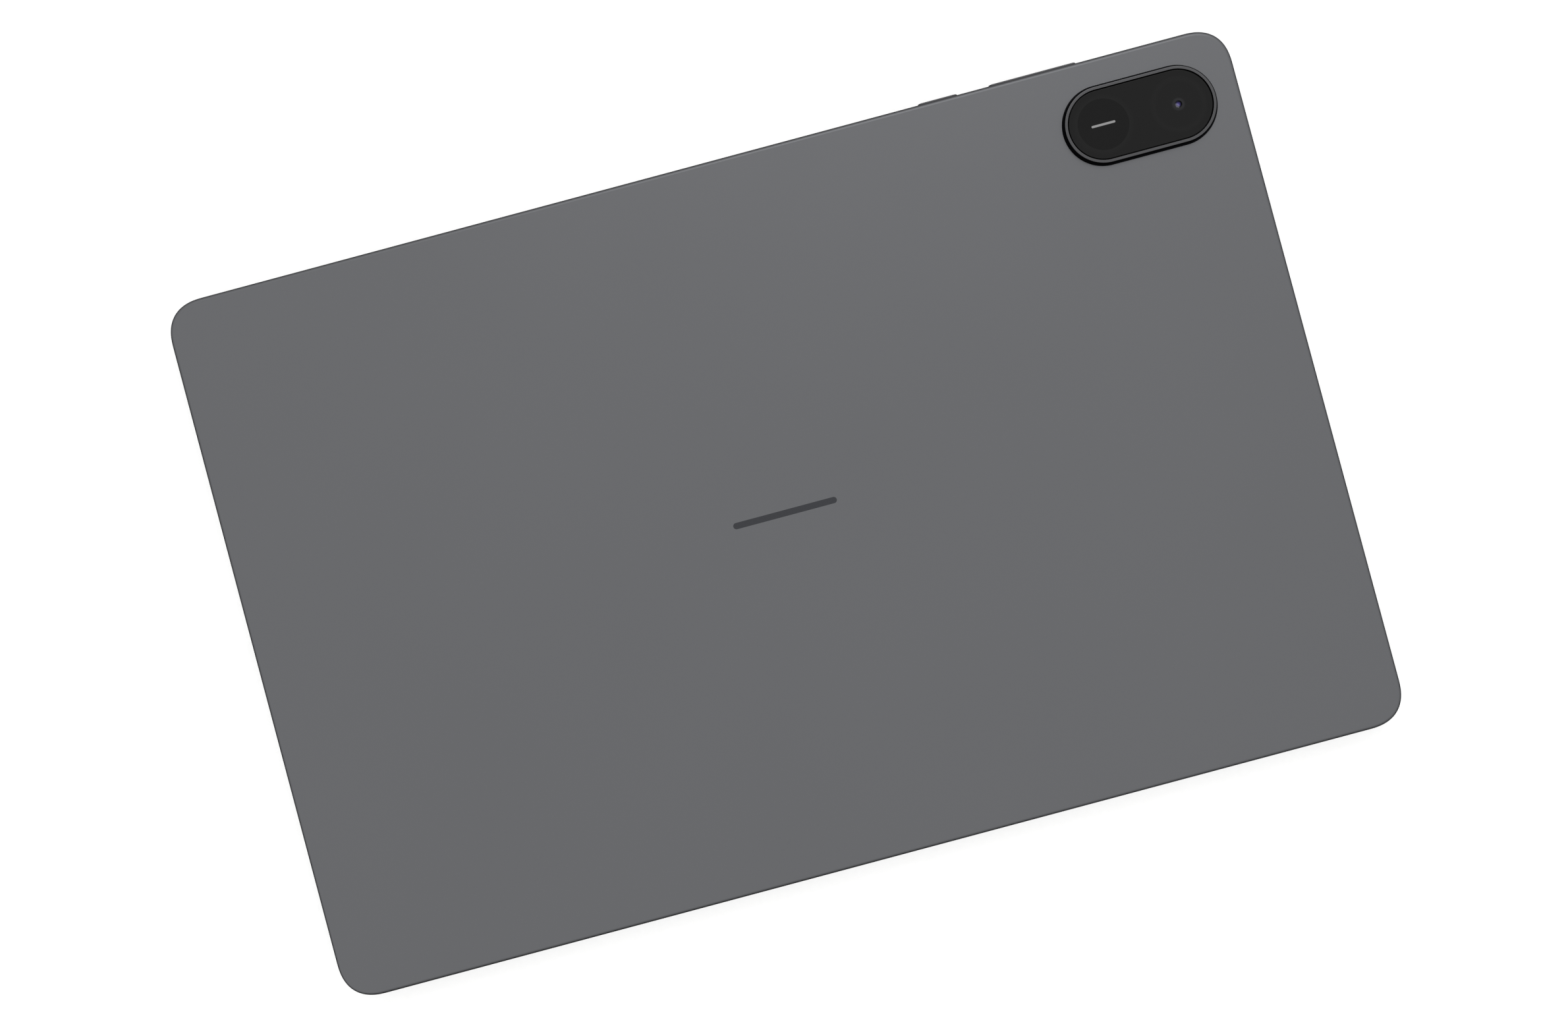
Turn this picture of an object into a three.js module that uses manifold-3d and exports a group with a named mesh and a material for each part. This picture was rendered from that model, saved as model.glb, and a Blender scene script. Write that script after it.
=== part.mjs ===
// Tablet computer of the 11-inch class, lying on its screen with its back facing up.
//
// Millimetres. +Z points out of the back, +X runs along the long side towards the camera
// end, and +Y runs across towards the edge that carries the keys. The origin is the centre
// of the screen glass's outer face, which is the face the tablet rests on.

import * as THREE from 'three';
import Module from 'manifold-3d';
import { mergeVertices } from 'three/addons/utils/BufferGeometryUtils.js';

const wasm = await Module();
wasm.setup();

// ---------------------------------------------------------------- driving dimensions

// Body shell
const BODY_LENGTH = 257.0;
const BODY_WIDTH = 168.4;
const BODY_THICKNESS = 7.25;
const CORNER_REACH = 9.8; // how far each corner's curve runs along its two sides
const CORNER_POWER = 2.5; // superellipse power of the corner, where 2 is a plain arc
const CORNER_STEPS = 8;
const EDGE_ROLL_WIDTH = 1.1; // the rolled edge around the back, seen from above
const EDGE_ROLL_HEIGHT = 1.5;
const EDGE_ROLL_STEPS = 5;
const RIM_RECESS = 0.35; // the metal rim stays this far above the glass's outer face
const RIM_CHAMFER = 0.35;
const SIDE_WALL = 0.9;
const BACK_WALL = 0.8;

// Clearances
const FIT_GAP = 0.15; // around a piece that drops into a pocket or slot
const STACK_GAP = 0.1; // between layers that lie on each other
const BOND_GAP = 0.05; // adhesive line
const TRIM_GAP = 0.15; // between the camera glass and its ring

// Display stack
const GLASS_THICKNESS = 0.7;
const GLASS_EDGE_BEVEL = 0.2;
const FRAME_LIP = 0.5; // black lip that shows around the glass
const LIP_RECESS = 0.15;
const PANEL_BORDER = 9.0; // body outline to the panel's edge
const PANEL_THICKNESS = 0.85;
const DRIVER_LEDGE = 3.0; // strip of the panel beyond the backlight, where its flex is bonded
const GUIDE_THICKNESS = 0.45;
const TRAY_SHEET = 0.15;
const PLATE_THICKNESS = 0.3;
const PLATE_INSET = 4.5; // body outline to the mid plate's edge
const DISPLAY_FLEX_SIDE_GAP = 0.8; // between the ribbon and the screw bosses beside it
const DISPLAY_FLEX_SHEET = 0.12;
const DISPLAY_FLEX_OVERLAP = 6.0; // how far the ribbon reaches under the main board

// Keys on the +Y edge
const POWER_KEY_LENGTH = 9.6;
const KEY_SPACING = 7.6; // clear wall between the two keys
const VOLUME_KEY_LENGTH = 21.2;
const VOLUME_KEY_FROM_END = 35.1; // body's end to the volume key's end
const KEY_HEIGHT = 2.1;
const KEY_FROM_BACK = 3.2; // back face to the keys' centre line
const KEY_PROUD = 0.55;
const KEY_CREST = 0.25; // how much the key's face is rounded over at its rim
const KEY_FLANGE = 0.25; // how far the inner flange stands out past the cap
const KEY_FLANGE_SHEET = 0.4;
const KEY_TRAVEL = 0.3;
const PLUNGER_LENGTH = 2.4;
const PLUNGER_DEPTH = 0.5;
const SWITCH_LENGTH = 3.4;
const SWITCH_DEPTH = 1.0;
const SWITCH_NUB = 0.8;
const VOLUME_SWITCH_PITCH = 17.0;
const KEY_FLEX_SHEET = 0.15;
const KEY_BRACKET_SHEET = 0.3;
const KEY_BRACKET_OVERHANG = 2.5;
const KEY_BRACKET_FOOT = 3.5;

// Camera island
const ISLAND_LENGTH = 36.7;
const ISLAND_WIDTH = 18.7;
const ISLAND_END_MARGIN = 6.1; // body outline to the island's
const ISLAND_SIDE_MARGIN = 6.6;
const ISLAND_HEIGHT = 1.3;
const ISLAND_STEPS = 14;
const RING_WIDTH = 1.1;
const RING_ROLL_WIDTH = 0.55; // the ring's rolled outer side, seen from above
const RING_ROLL_HEIGHT = 1.1;
const RING_ROLL_STEPS = 4;
const CAMERA_GLASS_THICKNESS = 0.7;
const CAMERA_GLASS_SINK = 0.1; // ring's top to the glass's face
const CAMERA_FILM = 0.1;
const CAMERA_FLANGE = 1.3; // how far the island's base reaches under the back
const CAMERA_FLANGE_SHEET = 0.5;
const LENS_FROM_ISLAND_CENTRE = 9.1;
const LENS_WINDOW = 3.2;
const BARREL_DIAMETER = 6.4;
const CAMERA_MODULE_SIDE = 9.0;
const LENS_DIAMETER = 2.4;
const LENS_THICKNESS = 0.45;
const CAMERA_FLEX_WIDTH = 5.0;
const ROUND_STEPS = 20;

// Speakers and grilles in the two short sides
const SPEAKER_LENGTH = 19.0;
const SPEAKER_WIDTH = 23.0;
const SPEAKER_CAMERA_GAP = 1.2;
const GRILLE_HOLES = 8;
const GRILLE_PITCH = 2.4;
const GRILLE_HOLE = 1.1;
const GRILLE_HEIGHT = 1.6;
const GRILLE_SHEET = 0.2;
const HOLE_STEPS = 8;

// Port board at the -X end
const SOCKET_WIDTH = 8.94;
const SOCKET_HEIGHT = 3.26;
const SOCKET_DEPTH = 7.2;
const SOCKET_SHELL = 0.25;
const SOCKET_FROM_BACK = 3.15;
const TONGUE_WIDTH = 6.6;
const TONGUE_THICKNESS = 0.7;
const TONGUE_DEPTH = 5.0;
const PORT_BOARD_LENGTH = 15.0;
const PORT_BOARD_WIDTH = 34.0;
const MIC_HOLE = 1.0;
const MIC_FROM_SOCKET = 14.0;
const MIC_SIZE = 3.0;
const MIC_HEIGHT = 1.0;

// Memory-card tray in the +X end
const CARD_WIDTH = 11.0;
const CARD_LENGTH = 15.0;
const TRAY_FRAME = 0.8; // tray's border around the card
const TRAY_THICKNESS = 1.1;
const TRAY_FACE_HEIGHT = 2.1;
const TRAY_FACE_MARGIN = 0.9;
const TRAY_FACE_DEPTH = 1.1;
const EJECT_HOLE = 0.9;
const CARD_SOCKET_SHELL = 0.3;
const CARD_SOCKET_GAP = 0.2;
const CARD_FROM_SPEAKER = 3.0;

// Main board
const BOARD_STANDOFF = 0.35;
const BOARD_THICKNESS = 0.7;
const BOARD_ARM = 24.0; // width of the board's long arm
const BOARD_EDGE_GAP = 2.0;
const BOARD_FROM_KEYLESS_EDGE = 24.0;
const SHIELD_SHEET = 0.15;
const SHIELD_MARGIN = 2.0;
const PROCESSOR_SHIELD_WIDTH = 30.0;
const CHIP_HEADROOM = 0.2;
const PROCESSOR_SIDE = 12.0;
const STORAGE_SIDE = 10.0;
const SCREW_HEAD = 2.4;
const SCREW_HEAD_HEIGHT = 0.45;
const SCREW_SHANK = 1.2;
const SCREW_HOLE_GAP = 0.2;
const BOSS_WALL = 0.8;
const SCREW_STEPS = 10;
const SCREW_FROM_EDGE = 2.6;

// Battery
const BATTERY_FROM_PORT_END = 47.0; // room at the -X end for the port board and speakers
const BATTERY_FROM_KEY_EDGE = 32.0;
const BATTERY_FROM_KEYLESS_EDGE = 24.0;
const BATTERY_CORNER = 2.0;
const CELL_GAP = 2.0;
const BATTERY_BOARD_GAP = 0.5;
const BATTERY_BOARD_DEPTH = 3.5;
const BATTERY_BOARD_LENGTH = 46.0;
const BATTERY_BOARD_THICKNESS = 1.6;
const GRAPHITE_SHEET = 0.12;
const LINK_FLEX_WIDTH = 8.0;
const LINK_FLEX_SHEET = 0.12;

// Screen-side sensor pieces and antennas
const FRONT_MODULE_GAP = 0.8; // side wall to the module
const FRONT_BARREL = 4.4;
const FRONT_MODULE_SIDE = 6.4;
const FRONT_MODULE_HEADROOM = 0.6;
const FRONT_LENS = 1.6;
const FRONT_LENS_THICKNESS = 0.3;
const ANTENNA_LENGTH = 42.0;
const ANTENNA_WIDTH = 2.2;
const ANTENNA_SHEET = 0.25;
const ANTENNA_FROM_END = 16.0;

// ---------------------------------------------------------------- levels and places

const bodyEnd = BODY_LENGTH / 2;
const bodySide = BODY_WIDTH / 2;
const wallInside = bodySide - SIDE_WALL;
const endInside = bodyEnd - SIDE_WALL;

const panelBottom = GLASS_THICKNESS + BOND_GAP;
const guideBottom = panelBottom + PANEL_THICKNESS + BOND_GAP;
const backlightTop = guideBottom + GUIDE_THICKNESS + STACK_GAP + TRAY_SHEET;
const frameTop = backlightTop;
const plateBottom = frameTop + STACK_GAP;
const bayFloor = plateBottom + PLATE_THICKNESS;
const bayRoof = BODY_THICKNESS - BACK_WALL;
const graphiteBottom = bayRoof - BOND_GAP - GRAPHITE_SHEET;
const bayCeiling = graphiteBottom - STACK_GAP;
const boardBottom = bayFloor + BOARD_STANDOFF;
const boardTop = boardBottom + BOARD_THICKNESS;

const frameInset = SIDE_WALL + FIT_GAP;
const glassInset = frameInset + FRAME_LIP + FIT_GAP;
const panelLength = BODY_LENGTH - 2 * PANEL_BORDER;
const panelWidth = BODY_WIDTH - 2 * PANEL_BORDER;

const keyLevel = BODY_THICKNESS - KEY_FROM_BACK;
const flangeHeight = KEY_HEIGHT + 2 * KEY_FLANGE;
// At its limit the rocker's raised end swings its flange out by about a key's travel.
const flangeOutside = wallInside - KEY_TRAVEL;
const flangeInside = flangeOutside - KEY_FLANGE_SHEET;
const plungerTip = flangeInside - BOND_GAP - PLUNGER_DEPTH;
const switchFront = plungerTip - KEY_TRAVEL - BOND_GAP;
const switchBack = switchFront - SWITCH_DEPTH;
const keyFlexBack = switchBack - BOND_GAP - KEY_FLEX_SHEET;
const keyBracketBack = keyFlexBack - BOND_GAP - KEY_BRACKET_SHEET;
const volumeKeyX = bodyEnd - VOLUME_KEY_FROM_END - VOLUME_KEY_LENGTH / 2;
const powerKeyX = volumeKeyX - VOLUME_KEY_LENGTH / 2 - KEY_SPACING - POWER_KEY_LENGTH / 2;
const volumeSwitchOffset = VOLUME_SWITCH_PITCH / 2;
const keyStripStart = powerKeyX - POWER_KEY_LENGTH / 2 - KEY_BRACKET_OVERHANG;
const keyStripEnd = volumeKeyX + VOLUME_KEY_LENGTH / 2 + KEY_BRACKET_OVERHANG;

const islandX = bodyEnd - ISLAND_END_MARGIN - ISLAND_LENGTH / 2;
const islandY = bodySide - ISLAND_SIDE_MARGIN - ISLAND_WIDTH / 2;
const islandTop = BODY_THICKNESS + ISLAND_HEIGHT;
const lensX = islandX + LENS_FROM_ISLAND_CENTRE;
const cameraGlassTop = islandTop - CAMERA_GLASS_SINK;
const cameraGlassBottom = cameraGlassTop - CAMERA_GLASS_THICKNESS;
const filmBottom = cameraGlassBottom - BOND_GAP - CAMERA_FILM;
const islandSeat = filmBottom - BOND_GAP;
const cameraFlangeTop = bayRoof - BOND_GAP;
const cameraFlangeBottom = cameraFlangeTop - CAMERA_FLANGE_SHEET;
const cameraFlangeSide = islandY - ISLAND_WIDTH / 2 - CAMERA_FLANGE;

const speakerY = cameraFlangeSide - SPEAKER_CAMERA_GAP - SPEAKER_WIDTH / 2;
const grilleLevel = bayFloor + STACK_GAP + GRILLE_HEIGHT / 2;
const grilleOutside = endInside - BOND_GAP;
const speakerOutside = grilleOutside - GRILLE_SHEET - BOND_GAP;
const speakerInside = speakerOutside - SPEAKER_LENGTH;

const socketLevel = BODY_THICKNESS - SOCKET_FROM_BACK;
const socketInside = -endInside + SOCKET_DEPTH;
const portBoardEnd = socketInside + FIT_GAP;

const traySlabWidth = CARD_WIDTH + 2 * TRAY_FRAME;
const traySlabLength = CARD_LENGTH + TRAY_FRAME;
const cardSocketHeight = TRAY_THICKNESS + 2 * (CARD_SOCKET_GAP + CARD_SOCKET_SHELL);
const cardSocketWidth = traySlabWidth + 2 * (CARD_SOCKET_GAP + CARD_SOCKET_SHELL);
const trayLevel = bayFloor + STACK_GAP + cardSocketHeight / 2;
const trayFaceInside = bodyEnd - TRAY_FACE_DEPTH;
const cardSocketOutside = trayFaceInside - FIT_GAP - FRAME_LIP;
const cardSocketInside = trayFaceInside - traySlabLength - CARD_SOCKET_GAP - CARD_SOCKET_SHELL;

const boardTabSide = speakerY - SPEAKER_WIDTH / 2 - BOARD_EDGE_GAP;
const boardArmEnd = speakerInside - BOARD_EDGE_GAP;
const boardArmStart = boardArmEnd - BOARD_ARM;
const boardTabEnd = bodyEnd - PLATE_INSET;
const boardKeySide = cameraFlangeSide - BOARD_EDGE_GAP;
const boardKeylessSide = -bodySide + BOARD_FROM_KEYLESS_EDGE;
const cardY = -(boardTabSide - CARD_FROM_SPEAKER - cardSocketWidth / 2);

const batteryStart = -bodyEnd + BATTERY_FROM_PORT_END;
const batteryEnd = boardArmStart - BOARD_EDGE_GAP;
const batteryKeySide = bodySide - BATTERY_FROM_KEY_EDGE;
const batteryKeylessSide = -bodySide + BATTERY_FROM_KEYLESS_EDGE;
const frontLensY = wallInside - FRONT_MODULE_GAP - FRONT_MODULE_SIDE / 2;

// ---------------------------------------------------------------- shape helpers

// Outline of a rectangle with superellipse corners, anticlockwise, centred on the origin.
function roundedOutline(length, width, reach, power = CORNER_POWER) {
  const points = [];
  for (let corner = 0; corner < 4; corner++) {
    const sideX = corner === 0 || corner === 3 ? 1 : -1;
    const sideY = corner < 2 ? 1 : -1;
    for (let step = 0; step <= CORNER_STEPS; step++) {
      const angle = ((corner + step / CORNER_STEPS) * Math.PI) / 2;
      const x = Math.abs(Math.cos(angle)) ** (2 / power);
      const y = Math.abs(Math.sin(angle)) ** (2 / power);
      points.push([sideX * (length / 2 - reach + reach * x), sideY * (width / 2 - reach + reach * y)]);
    }
  }
  return points;
}

// Outline of the body, set in by the same distance all round.
function bodyOutline(inset) {
  return roundedOutline(BODY_LENGTH - 2 * inset, BODY_WIDTH - 2 * inset, CORNER_REACH - inset);
}

// Outline with two straight sides and two half-round ends, set in all round.
function islandOutline(inset) {
  const radius = ISLAND_WIDTH / 2 - inset;
  const straight = (ISLAND_LENGTH - ISLAND_WIDTH) / 2;
  const points = [];
  for (let end = 0; end < 2; end++) {
    for (let step = 0; step <= ISLAND_STEPS; step++) {
      const angle = (end + step / ISLAND_STEPS - 0.5) * Math.PI;
      const centre = end === 0 ? straight : -straight;
      points.push([islandX + centre + radius * Math.cos(angle), islandY + radius * Math.sin(angle)]);
    }
  }
  return points;
}

// Skin through outlines that all have the same number of points. An open loft is capped at
// both ends; a closed one joins its last outline to its first, which makes a ring.
function loft(levels, closed = false) {
  const count = levels[0].outline.length;
  const positions = levels.flatMap(({ outline, z }) => outline.flatMap(([x, y]) => [x, y, z]));
  const triangles = [];
  const bands = closed ? levels.length : levels.length - 1;
  for (let band = 0; band < bands; band++) {
    const below = band * count;
    const above = ((band + 1) % levels.length) * count;
    for (let i = 0; i < count; i++) {
      const j = (i + 1) % count;
      triangles.push(below + i, below + j, above + j, below + i, above + j, above + i);
    }
  }
  if (!closed) {
    const ends = [
      { first: 0, level: levels[0], flip: true },
      { first: (levels.length - 1) * count, level: levels.at(-1), flip: false },
    ];
    for (const { first, level, flip } of ends) {
      const centre = positions.length / 3;
      const middle = level.outline.reduce((sum, [x, y]) => [sum[0] + x / count, sum[1] + y / count], [0, 0]);
      positions.push(...middle, level.z);
      for (let i = 0; i < count; i++) {
        const a = first + i;
        const b = first + ((i + 1) % count);
        triangles.push(centre, flip ? b : a, flip ? a : b);
      }
    }
  }
  const geometry = new THREE.BufferGeometry();
  geometry.setAttribute('position', new THREE.Float32BufferAttribute(positions, 3));
  geometry.setIndex(triangles);
  return geometry;
}

const shapeOf = (points) => new THREE.Shape(points.map(([x, y]) => new THREE.Vector2(x, y)));

// Rectangle with plain corners, or with round ones where a radius is given.
function rectangle(x0, y0, x1, y1, radius = 0) {
  if (radius === 0) return shapeOf([[x0, y0], [x1, y0], [x1, y1], [x0, y1]]);
  const shape = new THREE.Shape();
  shape.absarc(x1 - radius, y0 + radius, radius, -Math.PI / 2, 0);
  shape.absarc(x1 - radius, y1 - radius, radius, 0, Math.PI / 2);
  shape.absarc(x0 + radius, y1 - radius, radius, Math.PI / 2, Math.PI);
  shape.absarc(x0 + radius, y0 + radius, radius, Math.PI, 1.5 * Math.PI);
  return shape;
}

function circle(x, y, diameter, steps) {
  return shapeOf(Array.from({ length: steps }, (_, i) => {
    const angle = ((i + 0.5) / steps) * 2 * Math.PI;
    return [x + (diameter / 2) * Math.cos(angle), y + (diameter / 2) * Math.sin(angle)];
  }));
}

function extrude(shape, depth, steps) {
  return new THREE.ExtrudeGeometry(shape, { depth, bevelEnabled: false, curveSegments: steps });
}

// Three ways to give a flat shape its depth. For a wall, the shape is drawn as
// (distance along the wall, height).
const upwards = (shape, z0, z1, steps = 2) => extrude(shape, z1 - z0, steps).translate(0, 0, z0);
const alongY = (shape, y0, y1, steps = 2) =>
  extrude(shape, y1 - y0, steps).rotateX(Math.PI / 2).translate(0, y1, 0);
const alongX = (shape, x0, x1, steps = 2) =>
  extrude(shape, x1 - x0, steps).rotateX(Math.PI / 2).rotateZ(Math.PI / 2).translate(x0, 0, 0);

function block(x0, x1, y0, y1, z0, z1) {
  return new THREE.BoxGeometry(x1 - x0, y1 - y0, z1 - z0)
    .translate((x0 + x1) / 2, (y0 + y1) / 2, (z0 + z1) / 2);
}

const rod = (x, y, diameter, z0, z1, steps = ROUND_STEPS) => upwards(circle(x, y, diameter, steps), z0, z1);

// Centred slot shape with fully round ends, as a key's cap or a socket's mouth has.
function slotShape(x, y, length, height) {
  return rectangle(x - length / 2, y - height / 2, x + length / 2, y + height / 2, height / 2 - 0.01);
}

function solid(geometry) {
  const bare = geometry.clone();
  bare.deleteAttribute('normal');
  bare.deleteAttribute('uv');
  const merged = mergeVertices(bare, 1e-4);
  return new wasm.Manifold(new wasm.Mesh({
    numProp: 3,
    vertProperties: new Float32Array(merged.attributes.position.array),
    triVerts: new Uint32Array(merged.index.array),
  }));
}

function surface(body) {
  const { vertProperties, triVerts } = body.getMesh();
  const geometry = new THREE.BufferGeometry();
  geometry.setAttribute('position', new THREE.BufferAttribute(vertProperties, 3));
  geometry.setIndex(new THREE.BufferAttribute(triVerts, 1));
  geometry.computeVertexNormals();
  return geometry;
}

// Base geometry with others joined on and others cut away.
function shaped(base, { join = [], cut = [] }) {
  let body = solid(base);
  for (const piece of join) body = body.add(solid(piece));
  for (const piece of cut) body = body.subtract(solid(piece));
  return surface(body);
}

// ---------------------------------------------------------------- materials

function finish(color, roughness, metalness) {
  return () => new THREE.MeshStandardMaterial({ color, roughness, metalness });
}

const anodisedGrey = finish(0x6a6b6e, 0.55, 0.6);
const anodisedTrim = finish(0x58595b, 0.4, 0.7);
const blackPlastic = finish(0x17181a, 0.6, 0);
const clearGlass = finish(0x0c0d0f, 0.05, 0);
const panelBlack = finish(0x0a0a0c, 0.3, 0);
const diffuser = finish(0xe8ebee, 0.5, 0);
const sheetMetal = finish(0xa9acaf, 0.35, 0.9);
const castMagnesium = finish(0x8d9092, 0.6, 0.7);
const printedBoard = finish(0x1f4a38, 0.55, 0);
const moulding = finish(0x111214, 0.55, 0);
const flexFilm = finish(0x8a5a22, 0.45, 0);
const pouchFoil = finish(0x9fa2a5, 0.4, 0.7);
const graphite = finish(0x2b2c2e, 0.7, 0.3);
const chipBlack = finish(0x1b1c1e, 0.5, 0);
const lensGlass = finish(0x2a2450, 0.05, 0);
const siliconeGrey = finish(0x3b3c3f, 0.8, 0);
const wovenMesh = finish(0x202123, 0.7, 0.4);

// ---------------------------------------------------------------- casing

const keySlots = () => [
  [powerKeyX, POWER_KEY_LENGTH],
  [volumeKeyX, VOLUME_KEY_LENGTH],
].map(([x, length]) => {
  const opening = slotShape(x, keyLevel, length + 2 * FIT_GAP, KEY_HEIGHT + 2 * FIT_GAP);
  return alongY(opening, wallInside - 1, bodySide + 1);
});

function grilleHoles(side, sideY) {
  const first = speakerY * sideY - ((GRILLE_HOLES - 1) * GRILLE_PITCH) / 2;
  const from = side > 0 ? endInside - 1 : -bodyEnd - 1;
  return Array.from({ length: GRILLE_HOLES }, (_, i) => {
    const hole = circle(first + i * GRILLE_PITCH, grilleLevel, GRILLE_HOLE, HOLE_STEPS);
    return alongX(hole, from, from + SIDE_WALL + 2);
  });
}

// Aluminium shell: back and side walls in one piece, open towards the screen.
function rearCover() {
  const outside = [
    { outline: bodyOutline(RIM_CHAMFER), z: RIM_RECESS },
    { outline: bodyOutline(0), z: RIM_RECESS + RIM_CHAMFER },
  ];
  for (let step = 0; step <= EDGE_ROLL_STEPS; step++) {
    const angle = ((step / EDGE_ROLL_STEPS) * Math.PI) / 2;
    outside.push({
      outline: bodyOutline(EDGE_ROLL_WIDTH * (1 - Math.cos(angle))),
      z: BODY_THICKNESS - EDGE_ROLL_HEIGHT * (1 - Math.sin(angle)),
    });
  }
  const hollow = loft([
    { outline: bodyOutline(SIDE_WALL), z: RIM_RECESS - 1 },
    { outline: bodyOutline(SIDE_WALL), z: BODY_THICKNESS - EDGE_ROLL_HEIGHT },
    { outline: bodyOutline(SIDE_WALL + EDGE_ROLL_WIDTH / 4), z: bayRoof },
  ]);
  const cameraOpening = loft([
    { outline: islandOutline(-FIT_GAP), z: bayRoof - 1 },
    { outline: islandOutline(-FIT_GAP), z: BODY_THICKNESS + 1 },
  ]);
  const trayFace = slotShape(cardY, trayLevel, traySlabWidth + 2 * (TRAY_FACE_MARGIN + FIT_GAP),
    TRAY_FACE_HEIGHT + 2 * FIT_GAP);
  const socketMouth = slotShape(0, socketLevel, SOCKET_WIDTH + 2 * FIT_GAP, SOCKET_HEIGHT + 2 * FIT_GAP);
  return shaped(loft(outside), {
    cut: [
      hollow,
      cameraOpening,
      ...keySlots(),
      alongX(trayFace, endInside - 1, bodyEnd + 1),
      alongX(socketMouth, -bodyEnd - 1, -endInside + 1),
      alongX(circle(MIC_FROM_SOCKET, grilleLevel, MIC_HOLE, HOLE_STEPS), -bodyEnd - 1, -endInside + 1),
      ...[1, -1].flatMap((side) => [1, -1].flatMap((sideY) => grilleHoles(side, sideY))),
    ],
  });
}

// Black moulded frame: its lip shows around the glass, its ledge carries the glass.
function displayFrame() {
  // The window's corner arcs are tight enough to clear the panel's square corners.
  const windowOutline = roundedOutline(panelLength + 2 * FIT_GAP, panelWidth + 2 * FIT_GAP, 2 * FIT_GAP, 2);
  const pocket = bodyOutline(glassInset - FIT_GAP);
  const ring = loft([
    { outline: bodyOutline(frameInset), z: LIP_RECESS },
    { outline: bodyOutline(frameInset), z: frameTop },
    { outline: windowOutline, z: frameTop },
    { outline: windowOutline, z: panelBottom },
    { outline: pocket, z: panelBottom },
    { outline: pocket, z: LIP_RECESS },
  ], true);
  const keyFloor = keyLevel - flangeHeight / 2 - FIT_GAP;
  const keyPocket = block(keyStripStart - FIT_GAP, keyStripEnd + FIT_GAP, keyBracketBack - FIT_GAP, bodySide,
    keyFloor, frameTop + 1);
  const socketPocket = block(-bodyEnd, socketInside + FIT_GAP, -SOCKET_WIDTH / 2 - FIT_GAP,
    SOCKET_WIDTH / 2 + FIT_GAP, socketLevel - SOCKET_HEIGHT / 2 - FIT_GAP, frameTop + 1);
  const cameraHole = rod(0, frontLensY, FRONT_BARREL + 2 * FIT_GAP, panelBottom - 1, frameTop + 1);
  return shaped(ring, { cut: [keyPocket, socketPocket, cameraHole] });
}

// ---------------------------------------------------------------- display

const coverGlass = () => loft([
  { outline: bodyOutline(glassInset + GLASS_EDGE_BEVEL), z: 0 },
  { outline: bodyOutline(glassInset + GLASS_EDGE_BEVEL / 4), z: GLASS_EDGE_BEVEL / 2 },
  { outline: bodyOutline(glassInset), z: GLASS_EDGE_BEVEL },
  { outline: bodyOutline(glassInset), z: GLASS_THICKNESS },
]);

const backlightStart = -panelWidth / 2 + DRIVER_LEDGE;

const lcdPanel = () => block(-panelLength / 2, panelLength / 2, -panelWidth / 2, panelWidth / 2,
  panelBottom, panelBottom + PANEL_THICKNESS);

const lightGuide = () => block(
  -panelLength / 2 + TRAY_SHEET + FIT_GAP, panelLength / 2 - TRAY_SHEET - FIT_GAP,
  backlightStart + TRAY_SHEET + FIT_GAP, panelWidth / 2 - TRAY_SHEET - FIT_GAP,
  guideBottom, guideBottom + GUIDE_THICKNESS);

// Shallow sheet-metal tray, open towards the screen, that holds the light guide.
const backlightTray = () => shaped(
  block(-panelLength / 2, panelLength / 2, backlightStart, panelWidth / 2, guideBottom, backlightTop),
  {
    cut: [block(-panelLength / 2 + TRAY_SHEET, panelLength / 2 - TRAY_SHEET, backlightStart + TRAY_SHEET,
      panelWidth / 2 - TRAY_SHEET, guideBottom - 1, backlightTop - TRAY_SHEET)],
  });


const shankHole = SCREW_SHANK + 2 * SCREW_HOLE_GAP;
const bossWidth = shankHole + 2 * BOSS_WALL;
const displayFlexMargin = SCREW_FROM_EDGE + bossWidth / 2 + DISPLAY_FLEX_SIDE_GAP;
const displayFlexStart = boardArmStart + displayFlexMargin;
const displayFlexEnd = boardArmEnd - displayFlexMargin;
const displayFlexEdge = -panelWidth / 2 + DRIVER_LEDGE / 2;

// Ribbon bonded on the panel's ledge: it rises through the mid plate and folds inwards.
function displayFlex() {
  const low = panelBottom + PANEL_THICKNESS + BOND_GAP;
  const high = bayFloor + STACK_GAP;
  const start = -panelWidth / 2 + STACK_GAP;
  const rise = displayFlexEdge;
  const end = boardKeylessSide + DISPLAY_FLEX_OVERLAP;
  const profile = shapeOf([
    [start, low], [rise, low], [rise, high], [end, high],
    [end, high + DISPLAY_FLEX_SHEET], [rise - DISPLAY_FLEX_SHEET, high + DISPLAY_FLEX_SHEET],
    [rise - DISPLAY_FLEX_SHEET, low + DISPLAY_FLEX_SHEET], [start, low + DISPLAY_FLEX_SHEET],
  ]);
  return alongX(profile, displayFlexStart, displayFlexEnd);
}

// ---------------------------------------------------------------- main board and its screws

// The six screws go through the board into bosses of the mid plate.
const screwPlaces = [
  [boardArmStart + SCREW_FROM_EDGE, boardKeySide - SCREW_FROM_EDGE],
  [boardArmEnd - SCREW_FROM_EDGE, boardKeySide - SCREW_FROM_EDGE],
  [boardTabEnd - SCREW_FROM_EDGE, boardTabSide - SCREW_FROM_EDGE],
  [boardTabEnd - SCREW_FROM_EDGE, cardY + cardSocketWidth / 2 + 2 * SCREW_FROM_EDGE],
  [boardArmEnd - SCREW_FROM_EDGE, boardKeylessSide + SCREW_FROM_EDGE],
  [boardArmStart + SCREW_FROM_EDGE, boardKeylessSide + SCREW_FROM_EDGE],
];
const screwDepth = plateBottom + BOND_GAP;

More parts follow.
